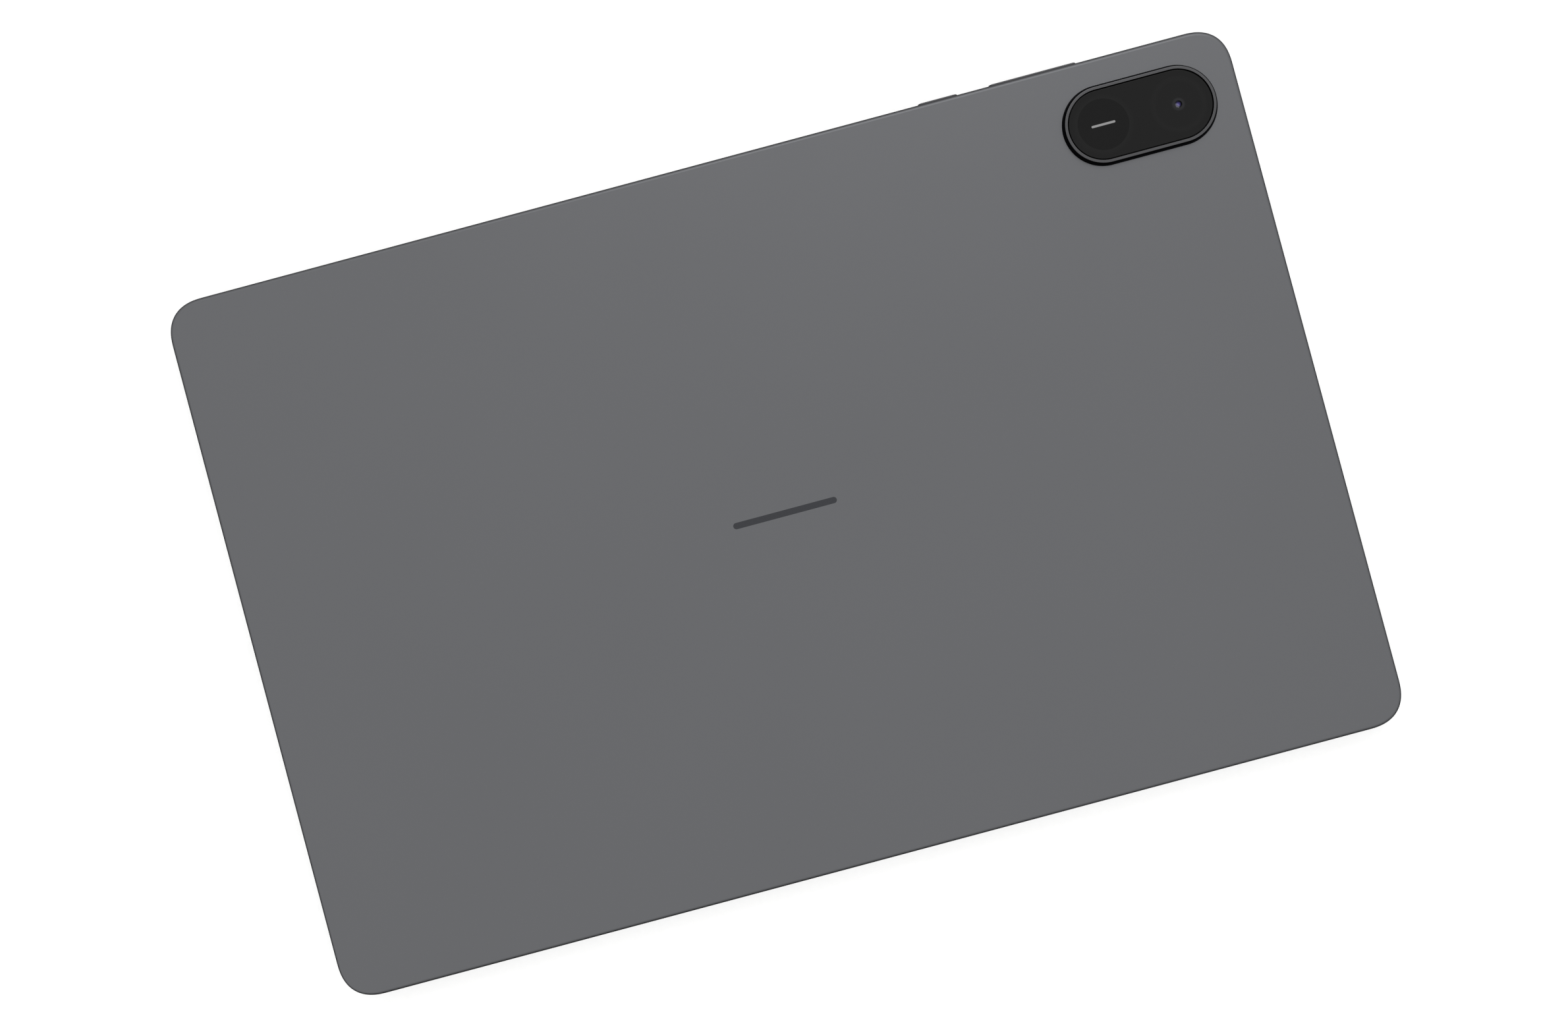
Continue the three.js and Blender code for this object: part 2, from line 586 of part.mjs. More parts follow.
// Sheet that stiffens the tablet: the display is glued to one face, the parts fixed to the other.
function midPlate() {
  const sheet = loft([
    { outline: bodyOutline(PLATE_INSET), z: plateBottom },
    { outline: bodyOutline(PLATE_INSET), z: bayFloor },
  ]);
  const bosses = screwPlaces.map(([x, y]) =>
    rod(x, y, bossWidth, bayFloor - PLATE_THICKNESS / 2, boardBottom - BOND_GAP, SCREW_STEPS));
  const threads = screwPlaces.map(([x, y]) =>
    rod(x, y, shankHole, plateBottom - 1, boardTop, SCREW_STEPS));
  const flexSlot = block(displayFlexStart - FIT_GAP, displayFlexEnd + FIT_GAP,
    displayFlexEdge - DISPLAY_FLEX_SHEET - FIT_GAP, displayFlexEdge + FIT_GAP, plateBottom - 1, bayFloor + 1);
  const keyNotch = block(keyStripStart - FIT_GAP, keyStripEnd + FIT_GAP, keyBracketBack - FIT_GAP, bodySide,
    plateBottom - 1, bayFloor + 1);
  const socketNotch = block(-bodyEnd, portBoardEnd, -SOCKET_WIDTH / 2 - FIT_GAP, SOCKET_WIDTH / 2 + FIT_GAP,
    plateBottom - 1, bayFloor + 1);
  const cameraNotch = block(-FRONT_MODULE_SIDE / 2 - FIT_GAP, FRONT_MODULE_SIDE / 2 + FIT_GAP,
    frontLensY - FRONT_MODULE_SIDE / 2 - FIT_GAP, bodySide, plateBottom - 1, bayFloor + 1);
  return shaped(sheet, { join: bosses, cut: [...threads, flexSlot, keyNotch, socketNotch, cameraNotch] });
}

function screw([x, y]) {
  const radius = SCREW_SHANK / 2;
  const head = boardTop + BOND_GAP;
  const profile = [
    [0, screwDepth], [radius, screwDepth], [radius, head], [SCREW_HEAD / 2, head],
    [SCREW_HEAD / 2, head + SCREW_HEAD_HEIGHT], [0, head + SCREW_HEAD_HEIGHT],
  ].map(([r, z]) => new THREE.Vector2(r, z));
  return new THREE.LatheGeometry(profile, SCREW_STEPS).rotateX(Math.PI / 2).translate(x, y, 0);
}

function mainBoard() {
  const plan = shapeOf([
    [boardArmStart, boardKeylessSide], [boardArmEnd, boardKeylessSide], [boardArmEnd, -boardTabSide],
    [boardTabEnd, -boardTabSide], [boardTabEnd, boardTabSide], [boardArmEnd, boardTabSide],
    [boardArmEnd, boardKeySide], [boardArmStart, boardKeySide],
  ]);
  const cardCutout = block(cardSocketInside - FIT_GAP, bodyEnd, cardY - cardSocketWidth / 2 - FIT_GAP,
    cardY + cardSocketWidth / 2 + FIT_GAP, boardBottom - 1, boardTop + 1);
  const holes = screwPlaces.map(([x, y]) => rod(x, y, shankHole, boardBottom - 1, boardTop + 1, SCREW_STEPS));
  return shaped(upwards(plan, boardBottom, boardTop), { cut: [cardCutout, ...holes] });
}

// Pressed can, open towards the board.
function shieldCan(x0, x1, y0, y1) {
  const foot = boardTop + BOND_GAP;
  return shaped(block(x0, x1, y0, y1, foot, bayCeiling), {
    cut: [block(x0 + SHIELD_SHEET, x1 - SHIELD_SHEET, y0 + SHIELD_SHEET, y1 - SHIELD_SHEET,
      foot - 1, bayCeiling - SHIELD_SHEET)],
  });
}

const shieldStart = boardArmStart + SHIELD_MARGIN;
const shieldEnd = cardSocketInside - SHIELD_MARGIN;
const armShieldEnd = boardArmEnd - SHIELD_MARGIN;
const screwRoom = SCREW_FROM_EDGE + SCREW_HEAD / 2 + SHIELD_MARGIN;
const shieldMiddle = (shieldStart + shieldEnd) / 2;

// Chip soldered under the middle can, to one side of the can's centre line.
function chip(side, centreY) {
  const top = bayCeiling - SHIELD_SHEET - CHIP_HEADROOM;
  return block(shieldMiddle - side / 2, shieldMiddle + side / 2, centreY - side / 2, centreY + side / 2,
    boardTop + BOND_GAP, top);
}

// ---------------------------------------------------------------- keys and their switches

// Metal cap with a crested face, and the flange behind the wall that keeps it in its slot.
function keyCap(x, length) {
  const cap = alongY(slotShape(x, keyLevel, length, KEY_HEIGHT), flangeInside,
    bodySide + KEY_PROUD - KEY_CREST);
  const crest = alongY(slotShape(x, keyLevel, length - 2 * KEY_CREST, KEY_HEIGHT - 2 * KEY_CREST),
    flangeInside, bodySide + KEY_PROUD);
  const flange = alongY(slotShape(x, keyLevel, length + 2 * KEY_FLANGE, flangeHeight),
    flangeInside, flangeOutside);
  return shaped(cap, { join: [crest, flange] });
}

const plunger = (x) => alongY(slotShape(x, keyLevel, PLUNGER_LENGTH, KEY_HEIGHT - 2 * KEY_FLANGE),
  plungerTip, flangeInside - BOND_GAP);

// The rocker's two plungers are moulded as one strip with a thin web between them.
function volumePlunger() {
  const web = block(volumeKeyX - volumeSwitchOffset, volumeKeyX + volumeSwitchOffset,
    plungerTip + PLUNGER_DEPTH / 2, flangeInside - BOND_GAP, keyLevel - KEY_FLANGE, keyLevel + KEY_FLANGE);
  const tips = [-volumeSwitchOffset, volumeSwitchOffset].map((offset) => plunger(volumeKeyX + offset));
  return shaped(web, { join: tips });
}

function tactSwitch(x) {
  const bodyFront = switchFront - SWITCH_NUB / 4;
  const body = block(x - SWITCH_LENGTH / 2, x + SWITCH_LENGTH / 2, switchBack, bodyFront,
    keyLevel - KEY_HEIGHT / 2, keyLevel + KEY_HEIGHT / 2);
  const nub = alongY(circle(x, keyLevel, SWITCH_NUB, HOLE_STEPS), switchBack, switchFront);
  return shaped(body, { join: [nub] });
}

const keyFlex = () => block(keyStripStart, keyStripEnd, keyFlexBack, keyFlexBack + KEY_FLEX_SHEET,
  keyLevel - flangeHeight / 2, keyLevel + flangeHeight / 2);

// Pressed angle that backs the switches, with its foot on the mid plate.
function keyBracket() {
  const foot = bayFloor + STACK_GAP;
  const inside = keyBracketBack - KEY_BRACKET_FOOT;
  const outer = block(keyStripStart, keyStripEnd, inside, keyBracketBack + KEY_BRACKET_SHEET,
    foot, keyLevel + flangeHeight / 2);
  const inner = block(keyStripStart - 1, keyStripEnd + 1, inside - 1, keyBracketBack,
    foot + KEY_BRACKET_SHEET, BODY_THICKNESS);
  return shaped(outer, { cut: [inner] });
}

// ---------------------------------------------------------------- camera island

// Black base: its flange sits under the back, its boss fills the opening and seats the glass.
function cameraBase() {
  const flange = loft([
    { outline: islandOutline(-CAMERA_FLANGE), z: cameraFlangeBottom },
    { outline: islandOutline(-CAMERA_FLANGE), z: cameraFlangeTop },
  ]);
  const boss = loft([
    { outline: islandOutline(0), z: cameraFlangeBottom },
    { outline: islandOutline(0), z: BODY_THICKNESS - STACK_GAP },
  ]);
  const seat = loft([
    { outline: islandOutline(RING_WIDTH + TRIM_GAP), z: cameraFlangeBottom },
    { outline: islandOutline(RING_WIDTH + TRIM_GAP), z: islandSeat },
  ]);
  const lensHole = rod(lensX, islandY, BARREL_DIAMETER + 2 * FIT_GAP, cameraFlangeBottom - 1, islandSeat + 1);
  return shaped(flange, { join: [boss, seat], cut: [lensHole] });
}

// Anodised trim ring around the camera glass. Its outer side rolls over like the body's edge.
function cameraRing() {
  const foot = BODY_THICKNESS;
  const levels = [{ outline: islandOutline(0), z: foot }];
  for (let step = 0; step <= RING_ROLL_STEPS; step++) {
    const angle = ((step / RING_ROLL_STEPS) * Math.PI) / 2;
    levels.push({
      outline: islandOutline(RING_ROLL_WIDTH * (1 - Math.cos(angle))),
      z: islandTop - RING_ROLL_HEIGHT * (1 - Math.sin(angle)),
    });
  }
  levels.push({ outline: islandOutline(RING_WIDTH), z: islandTop });
  levels.push({ outline: islandOutline(RING_WIDTH), z: foot });
  return loft(levels, true);
}

const islandSheet = (z0, z1) => loft([
  { outline: islandOutline(RING_WIDTH + TRIM_GAP), z: z0 },
  { outline: islandOutline(RING_WIDTH + TRIM_GAP), z: z1 },
]);

// Dark film under the glass, with a clear hole over the lens.
const cameraFilm = () => shaped(islandSheet(filmBottom, filmBottom + CAMERA_FILM), {
  cut: [rod(lensX, islandY, LENS_WINDOW, filmBottom - 1, cameraGlassTop)],
});

const barrelTop = islandSeat - STACK_GAP;
const lensSeat = barrelTop - LENS_THICKNESS;

function rearCameraModule() {
  const half = CAMERA_MODULE_SIDE / 2;
  const housing = upwards(rectangle(lensX - half, islandY - half, lensX + half, islandY + half),
    bayFloor + STACK_GAP, cameraFlangeBottom - STACK_GAP);
  const barrel = rod(lensX, islandY, BARREL_DIAMETER, bayFloor + STACK_GAP, barrelTop);
  const bore = rod(lensX, islandY, LENS_DIAMETER + 2 * BOND_GAP, lensSeat - BOND_GAP, islandTop);
  return shaped(housing, { join: [barrel], cut: [bore] });
}

// Domed front element of a lens, seated in its barrel. Its flat side is at z0.
function lensElement(x, y, diameter, z0, thickness, outwards) {
  const rim = thickness / 2;
  const profile = [[0, 0], [diameter / 2, 0], [diameter / 2, rim]];
  for (let step = 1; step <= 3; step++) {
    const angle = ((step / 3) * Math.PI) / 2;
    profile.push([(diameter / 2) * Math.cos(angle), rim + rim * Math.sin(angle)]);
  }
  profile[profile.length - 1][0] = 0;
  const geometry = new THREE.LatheGeometry(profile.map(([r, z]) => new THREE.Vector2(r, z)), ROUND_STEPS)
    .rotateX(Math.PI / 2);
  if (outwards < 0) geometry.rotateX(Math.PI);
  return geometry.translate(x, y, z0);
}

function rearCameraFlex() {
  const side = islandY - CAMERA_MODULE_SIDE / 2 - FIT_GAP;
  const z = bayFloor + STACK_GAP;
  return block(lensX - CAMERA_FLEX_WIDTH / 2, lensX + CAMERA_FLEX_WIDTH / 2,
    speakerY + SPEAKER_WIDTH / 2 + FIT_GAP, side, z, z + LINK_FLEX_SHEET);
}

// ---------------------------------------------------------------- memory-card tray

const trayX = trayFaceInside - traySlabLength;

// Slab with a pocket for the card, and a face plate that closes the slot in the side wall.
function cardTray() {
  const half = traySlabWidth / 2;
  const slab = block(trayX, trayFaceInside + TRAY_FACE_DEPTH / 2, cardY - half, cardY + half,
    trayLevel - TRAY_THICKNESS / 2, trayLevel + TRAY_THICKNESS / 2);
  const face = alongX(slotShape(cardY, trayLevel, traySlabWidth + 2 * TRAY_FACE_MARGIN, TRAY_FACE_HEIGHT),
    trayFaceInside, bodyEnd);
  const pocket = block(trayX + TRAY_FRAME, trayFaceInside - TRAY_FRAME / 2, cardY - CARD_WIDTH / 2,
    cardY + CARD_WIDTH / 2, trayLevel - TRAY_THICKNESS / 4, trayLevel + TRAY_THICKNESS);
  const eject = alongX(circle(cardY + half, trayLevel, EJECT_HOLE, HOLE_STEPS),
    trayFaceInside - 1, bodyEnd + 1);
  return shaped(slab, { join: [face], cut: [pocket, eject] });
}

// Metal cage that the tray slides in.
function cardSocket() {
  const half = cardSocketWidth / 2;
  const inner = half - CARD_SOCKET_SHELL;
  const rise = TRAY_THICKNESS / 2 + CARD_SOCKET_GAP;
  return shaped(
    block(cardSocketInside, cardSocketOutside, cardY - half, cardY + half,
      trayLevel - cardSocketHeight / 2, trayLevel + cardSocketHeight / 2),
    {
      cut: [block(cardSocketInside + CARD_SOCKET_SHELL, bodyEnd, cardY - inner, cardY + inner,
        trayLevel - rise, trayLevel + rise)],
    });
}

// ---------------------------------------------------------------- battery and links

const cellLength = (batteryEnd - batteryStart - CELL_GAP) / 2;

const batteryCell = (x0) => upwards(
  rectangle(x0, batteryKeylessSide, x0 + cellLength, batteryKeySide, BATTERY_CORNER),
  bayFloor + STACK_GAP, bayCeiling, 3);

// Small board folded against the cells' ends, with the protection circuit on it.
function batteryBoard() {
  const middle = (batteryStart + batteryEnd) / 2;
  const y0 = batteryKeySide + BATTERY_BOARD_GAP;
  return block(middle - BATTERY_BOARD_LENGTH / 2, middle + BATTERY_BOARD_LENGTH / 2, y0,
    y0 + BATTERY_BOARD_DEPTH, bayFloor + STACK_GAP, bayFloor + STACK_GAP + BATTERY_BOARD_THICKNESS);
}

const portBoardInside = portBoardEnd + PORT_BOARD_LENGTH;

// Ribbon from the port board, up beside the battery and along its end, to the main board.
function linkFlex() {
  const tab = portBoardInside + FIT_GAP;
  const side = batteryStart - FIT_GAP;
  const top = batteryKeySide + BATTERY_BOARD_GAP + BATTERY_BOARD_DEPTH + LINK_FLEX_WIDTH + STACK_GAP;
  const end = boardArmStart - FIT_GAP;
  const plan = shapeOf([
    [tab, -LINK_FLEX_WIDTH / 2], [side, -LINK_FLEX_WIDTH / 2], [side, top - LINK_FLEX_WIDTH],
    [end, top - LINK_FLEX_WIDTH], [end, top], [side - LINK_FLEX_WIDTH, top],
    [side - LINK_FLEX_WIDTH, LINK_FLEX_WIDTH / 2], [tab, LINK_FLEX_WIDTH / 2],
  ]);
  const z = bayFloor + STACK_GAP;
  return upwards(plan, z, z + LINK_FLEX_SHEET);
}

// Soft heat-spreading sheet on the inside of the back, clear of the camera base.
const graphiteSheet = () => block(batteryStart, boardTabEnd, batteryKeylessSide + BOARD_EDGE_GAP,
  boardKeySide - BOARD_EDGE_GAP, graphiteBottom, graphiteBottom + GRAPHITE_SHEET);

// ---------------------------------------------------------------- port board

const portBoard = () => block(portBoardEnd, portBoardInside, -PORT_BOARD_WIDTH / 2, PORT_BOARD_WIDTH / 2,
  boardBottom, boardTop);

// Stainless shell of the charging socket, a tube with a closed rear end.
function usbSocket() {
  const start = -bodyEnd + SIDE_WALL / 3;
  const outer = slotShape(0, socketLevel, SOCKET_WIDTH, SOCKET_HEIGHT);
  const inner = slotShape(0, socketLevel, SOCKET_WIDTH - 2 * SOCKET_SHELL, SOCKET_HEIGHT - 2 * SOCKET_SHELL);
  return shaped(alongX(outer, start, socketInside, 4), {
    cut: [alongX(inner, start - 1, socketInside - SOCKET_SHELL, 4)],
  });
}

const usbTongue = () => block(socketInside - SOCKET_SHELL - BOND_GAP - TONGUE_DEPTH,
  socketInside - SOCKET_SHELL - BOND_GAP, -TONGUE_WIDTH / 2, TONGUE_WIDTH / 2,
  socketLevel - TONGUE_THICKNESS / 2, socketLevel + TONGUE_THICKNESS / 2);

const microphone = () => block(-endInside + BOND_GAP, -endInside + BOND_GAP + MIC_SIZE / 2,
  MIC_FROM_SOCKET - MIC_SIZE / 2, MIC_FROM_SOCKET + MIC_SIZE / 2,
  grilleLevel - MIC_HEIGHT / 2, grilleLevel + MIC_HEIGHT / 2);

// ---------------------------------------------------------------- speakers

// Speaker box with its stepped nose towards the grille.
function speaker(side, sideY) {
  const y0 = sideY * speakerY - SPEAKER_WIDTH / 2;
  const nose = (GRILLE_HOLES * GRILLE_PITCH) / 2;
  const edges = [speakerInside, speakerOutside - BOARD_EDGE_GAP, speakerOutside].map((x) => x * side);
  const [inner, shoulder, front] = edges;
  const box = block(Math.min(inner, shoulder), Math.max(inner, shoulder), y0, y0 + SPEAKER_WIDTH,
    bayFloor + STACK_GAP, bayCeiling);
  const mouth = block(Math.min(inner, front), Math.max(inner, front), sideY * speakerY - nose,
    sideY * speakerY + nose, grilleLevel - GRILLE_HEIGHT / 2, grilleLevel + GRILLE_HEIGHT / 2);
  return shaped(box, { join: [mouth] });
}

function speakerMesh(side, sideY) {
  const half = (GRILLE_HOLES * GRILLE_PITCH) / 2;
  const near = side * (grilleOutside - GRILLE_SHEET);
  const far = side * grilleOutside;
  return block(Math.min(near, far), Math.max(near, far), sideY * speakerY - half, sideY * speakerY + half,
    grilleLevel - GRILLE_HEIGHT / 2, grilleLevel + GRILLE_HEIGHT / 2);
}

// ---------------------------------------------------------------- screen-side camera, antennas

const frontBarrelBottom = panelBottom + STACK_GAP;

function frontCamera() {
  const half = FRONT_MODULE_SIDE / 2;
  const housing = block(-half, half, frontLensY - half, frontLensY + half,
    plateBottom, bayCeiling - FRONT_MODULE_HEADROOM);
  const barrel = rod(0, frontLensY, FRONT_BARREL, frontBarrelBottom, plateBottom + PLATE_THICKNESS);
  const bore = rod(0, frontLensY, FRONT_LENS + 2 * BOND_GAP, 0,
    frontBarrelBottom + FRONT_LENS_THICKNESS + BOND_GAP);
  return shaped(housing, { join: [barrel], cut: [bore] });
}

const antennaFoot = bayFloor + STACK_GAP;

// Stamped strip beside a long edge, clear of the metal wall.
function antenna(x0, sideY) {
  const y = sideY * (bodySide - PLATE_INSET - ANTENNA_WIDTH);
  return block(x0, x0 + ANTENNA_LENGTH, Math.min(y, y + sideY * ANTENNA_WIDTH),
    Math.max(y, y + sideY * ANTENNA_WIDTH), antennaFoot, antennaFoot + ANTENNA_SHEET);
}

// ---------------------------------------------------------------- assembly

function node(name, geometry, material) {
  const mesh = new THREE.Mesh(geometry, material());
  mesh.name = name;
  return mesh;
}

function assembly(...meshes) {
  const group = new THREE.Group();
  group.add(...meshes);
  return group;
}

const casing = assembly(
  node('rear_cover', rearCover(), anodisedGrey),
  node('display_frame', displayFrame(), blackPlastic),
  node('mid_plate', midPlate(), castMagnesium),
);

const display = assembly(
  node('cover_glass', coverGlass(), clearGlass),
  node('lcd_panel', lcdPanel(), panelBlack),
  node('light_guide', lightGuide(), diffuser),
  node('backlight_tray', backlightTray(), sheetMetal),
  node('display_flex', displayFlex(), flexFilm),
);

const cameraIsland = assembly(
  node('camera_base', cameraBase(), moulding),
  node('camera_ring', cameraRing(), anodisedTrim),
  node('camera_glass', islandSheet(cameraGlassBottom, cameraGlassTop), clearGlass),
  node('camera_film', cameraFilm(), panelBlack),
  node('rear_camera_module', rearCameraModule(), moulding),
  node('rear_camera_lens',
    lensElement(lensX, islandY, LENS_DIAMETER, lensSeat, LENS_THICKNESS, 1), lensGlass),
  node('rear_camera_flex', rearCameraFlex(), flexFilm),
);

const keys = assembly(
  node('power_key', keyCap(powerKeyX, POWER_KEY_LENGTH), anodisedTrim),
  node('power_key_plunger', plunger(powerKeyX), siliconeGrey),
  node('volume_key', keyCap(volumeKeyX, VOLUME_KEY_LENGTH), anodisedTrim),
  node('volume_key_plunger', volumePlunger(), siliconeGrey),
  node('power_switch', tactSwitch(powerKeyX), moulding),
  node('volume_up_switch', tactSwitch(volumeKeyX + volumeSwitchOffset), moulding),
  node('volume_down_switch', tactSwitch(volumeKeyX - volumeSwitchOffset), moulding),
  node('key_flex', keyFlex(), flexFilm),
  node('key_bracket', keyBracket(), sheetMetal),
);

const cardReader = assembly(
  node('card_tray', cardTray(), anodisedTrim),
  node('card_socket', cardSocket(), sheetMetal),
);

const electronics = assembly(
  node('main_board', mainBoard(), printedBoard),
  node('processor', chip(PROCESSOR_SIDE, PROCESSOR_SIDE / 2), chipBlack),
  node('storage_chip', chip(STORAGE_SIDE, -STORAGE_SIDE / 2 - SHIELD_MARGIN), chipBlack),
  node('processor_shield', shieldCan(shieldStart, shieldEnd, -PROCESSOR_SHIELD_WIDTH / 2,
    PROCESSOR_SHIELD_WIDTH / 2), sheetMetal),
  node('radio_shield',
    shieldCan(shieldStart, armShieldEnd, boardTabSide, boardKeySide - screwRoom), sheetMetal),
  node('power_shield',
    shieldCan(shieldStart, armShieldEnd, boardKeylessSide + screwRoom, -boardTabSide), sheetMetal),
  node('graphite_sheet', graphiteSheet(), graphite),
  node('battery_cell_left', batteryCell(batteryStart), pouchFoil),
  node('battery_cell_right', batteryCell(batteryStart + cellLength + CELL_GAP), pouchFoil),
  node('battery_board', batteryBoard(), printedBoard),
  node('link_flex', linkFlex(), flexFilm),
  node('port_board', portBoard(), printedBoard),
  node('usb_socket', usbSocket(), sheetMetal),
  node('usb_tongue', usbTongue(), moulding),
  node('microphone', microphone(), sheetMetal),
  node('front_camera', frontCamera(), moulding),
  node('front_camera_lens', lensElement(0, frontLensY, FRONT_LENS, frontBarrelBottom + FRONT_LENS_THICKNESS,
    FRONT_LENS_THICKNESS, -1), lensGlass),
  node('antenna_upper', antenna(-bodyEnd + ANTENNA_FROM_END, 1), sheetMetal),
  node('antenna_lower', antenna(-bodyEnd + ANTENNA_FROM_END, -1), sheetMetal),
);

const fasteners = assembly(
  ...screwPlaces.map((place, i) => node(`board_screw_${i + 1}`, screw(place), sheetMetal)),
);

const speakerPlaces = [
  ['upper_left', -1, 1], ['lower_left', -1, -1], ['upper_right', 1, 1], ['lower_right', 1, -1],
];

const sound = assembly(
  ...speakerPlaces.map(([place, side, sideY]) =>
    node(`speaker_${place}`, speaker(side, sideY), moulding)),
  ...speakerPlaces.map(([place, side, sideY]) =>
    node(`speaker_mesh_${place}`, speakerMesh(side, sideY), wovenMesh)),
);

const tablet = new THREE.Group();
tablet.name = 'tablet';
tablet.add(casing, display, cameraIsland, keys, cardReader, electronics, fasteners, sound);

export default tablet;
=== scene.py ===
import math

import bmesh
import bpy
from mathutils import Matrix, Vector


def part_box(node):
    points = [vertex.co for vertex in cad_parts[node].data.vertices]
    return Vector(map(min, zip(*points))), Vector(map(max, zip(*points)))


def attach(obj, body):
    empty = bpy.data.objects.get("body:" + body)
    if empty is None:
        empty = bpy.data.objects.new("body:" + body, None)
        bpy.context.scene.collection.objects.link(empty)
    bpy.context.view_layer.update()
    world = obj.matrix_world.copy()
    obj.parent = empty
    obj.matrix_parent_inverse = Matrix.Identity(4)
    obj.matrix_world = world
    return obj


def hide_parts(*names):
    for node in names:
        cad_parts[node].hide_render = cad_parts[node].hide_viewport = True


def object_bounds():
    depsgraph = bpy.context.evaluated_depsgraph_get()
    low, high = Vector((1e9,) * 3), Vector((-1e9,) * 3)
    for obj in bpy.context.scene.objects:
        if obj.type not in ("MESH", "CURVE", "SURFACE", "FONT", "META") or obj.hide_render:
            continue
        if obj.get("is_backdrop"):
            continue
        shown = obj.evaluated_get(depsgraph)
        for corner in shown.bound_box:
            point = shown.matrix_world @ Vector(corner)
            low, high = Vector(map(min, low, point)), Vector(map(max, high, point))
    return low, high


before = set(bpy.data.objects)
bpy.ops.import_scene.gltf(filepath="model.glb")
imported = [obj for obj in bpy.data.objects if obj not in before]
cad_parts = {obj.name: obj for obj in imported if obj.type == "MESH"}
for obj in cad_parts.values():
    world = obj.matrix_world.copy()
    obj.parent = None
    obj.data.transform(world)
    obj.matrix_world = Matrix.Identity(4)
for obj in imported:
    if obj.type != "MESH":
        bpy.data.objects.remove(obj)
cad_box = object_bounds()

# ---------------------------------------------------------------- studio
# Pale table that curves up into its backdrop, inside a soft tent. The tent falls off below
# the horizon, so the rolled edges turn a little darker than the back.

MM = 0.001


def colour(hex_code):
    """Linear RGBA of an sRGB hex value such as 'a0b1c2'."""
    parts = [int(hex_code[i:i + 2], 16) / 255 for i in (0, 2, 4)]
    return [c / 12.92 if c <= 0.04045 else ((c + 0.055) / 1.055) ** 2.4 for c in parts] + [1.0]


def add_node(tree, kind, settings=None, **links):
    """Adds a node to a tree. Settings name its properties or its inputs, and a link names the input
    it feeds: i1 is input number 1. In a colour Mix, inputs 6 and 7 are the colours, output 2 the mix."""
    node = tree.nodes.new(kind)
    for key, value in (settings or {}).items():
        if isinstance(key, str) and hasattr(node, key):
            setattr(node, key, value)
        else:
            node.inputs[key].default_value = value
    for key, source in links.items():
        numbered = key[0] == "i" and key[1:].isdigit()
        tree.links.new(source, node.inputs[int(key[1:]) if numbered else key.replace("_", " ")])
    return node


SENSOR_WIDTH, FOCAL_LENGTH = 36.0, 39.68
CAMERA_PLACE, CAMERA_TURN = Vector((0.44, -1.57, 410.61)) * MM, (0.302, 0.153, -15.002)
camera_data = bpy.data.cameras.new("studio_camera")
camera_data.sensor_width, camera_data.lens = SENSOR_WIDTH, FOCAL_LENGTH
camera = bpy.data.objects.new("studio_camera", camera_data)
camera.location = CAMERA_PLACE
camera.rotation_euler = [math.radians(angle) for angle in CAMERA_TURN]
bpy.context.scene.collection.objects.link(camera)
bpy.context.scene.camera = camera
bpy.context.scene.view_settings.view_transform = "Standard"

# Brightness of the tent, from straight below (0) to straight above (1).
TENT_STEPS = ((0.0, 0.0), (0.18, 0.01), (0.28, 0.13), (0.40, 0.23), (0.54, 0.39), (0.75, 0.57), (1.0, 0.58))
TENT_AXIS = Vector((0.06, 0.20, 0.97)).normalized()
world = bpy.data.worlds.new("soft_tent")
world.use_nodes = True
tent = world.node_tree
tent.nodes.clear()
direction = add_node(tent, "ShaderNodeTexCoord")
along_axis = add_node(tent, "ShaderNodeVectorMath", {"operation": "DOT_PRODUCT", 1: TENT_AXIS},
                      i0=direction.outputs["Generated"])
height = add_node(tent, "ShaderNodeMapRange", {"From Min": -1.0, "From Max": 1.0},
                  Value=along_axis.outputs["Value"])
shade = add_node(tent, "ShaderNodeValToRGB", Fac=height.outputs["Result"])
while len(shade.color_ramp.elements) < len(TENT_STEPS):
    shade.color_ramp.elements.new(0.5)
for element, (place, level) in zip(shade.color_ramp.elements, TENT_STEPS):
    element.position = place
    element.color = (level, level, level, 1.0)
cloth = add_node(tent, "ShaderNodeBackground", Color=shade.outputs["Color"])
add_node(tent, "ShaderNodeOutputWorld", Surface=cloth.outputs["Background"])
bpy.context.scene.world = world

for name, place, size, power in (
        ("key_light", (0.3, 0.9, 0.9), 0.9, 1.5),
        ("fill_light", (-1.0, -0.6, 0.4), 0.8, 0.3),
        ("under_light", (0.3, -0.5, -1.0), 0.7, 1.0)):
    light_data = bpy.data.lights.new(name, "AREA")
    light_data.shape = "SQUARE"
    light_data.size = size
    light_data.energy = power
    light = bpy.data.objects.new(name, light_data)
    light.location = place
    light.rotation_euler = (-Vector(place)).to_track_quat("-Z", "Y").to_euler()
    bpy.context.scene.collection.objects.link(light)


def mesh_piece(name, points, faces, materials, face_materials=None):
    """New object with the given points and faces, its faces turned outwards."""
    mesh = bpy.data.meshes.new(name)
    mesh.from_pydata([tuple(p) for p in points], [], faces)
    for material in materials:
        mesh.materials.append(material)
    if face_materials:
        mesh.polygons.foreach_set("material_index", face_materials)
    form = bmesh.new()
    form.from_mesh(mesh)
    bmesh.ops.recalc_face_normals(form, faces=form.faces)
    form.to_mesh(mesh)
    form.free()
    piece = bpy.data.objects.new(name, mesh)
    bpy.context.scene.collection.objects.link(piece)
    return piece


def finish_material(name, **sockets):
    """Material with one Principled shader. Plain values go on its own sockets."""
    material = bpy.data.materials.new(name)
    material.use_nodes = True
    tree = material.node_tree
    tree.nodes.clear()
    settings = {key.replace("_", " "): value for key, value in sockets.items()}
    shader = add_node(tree, "ShaderNodeBsdfPrincipled", settings)
    add_node(tree, "ShaderNodeOutputMaterial", Surface=shader.outputs["BSDF"])
    return material, tree, shader


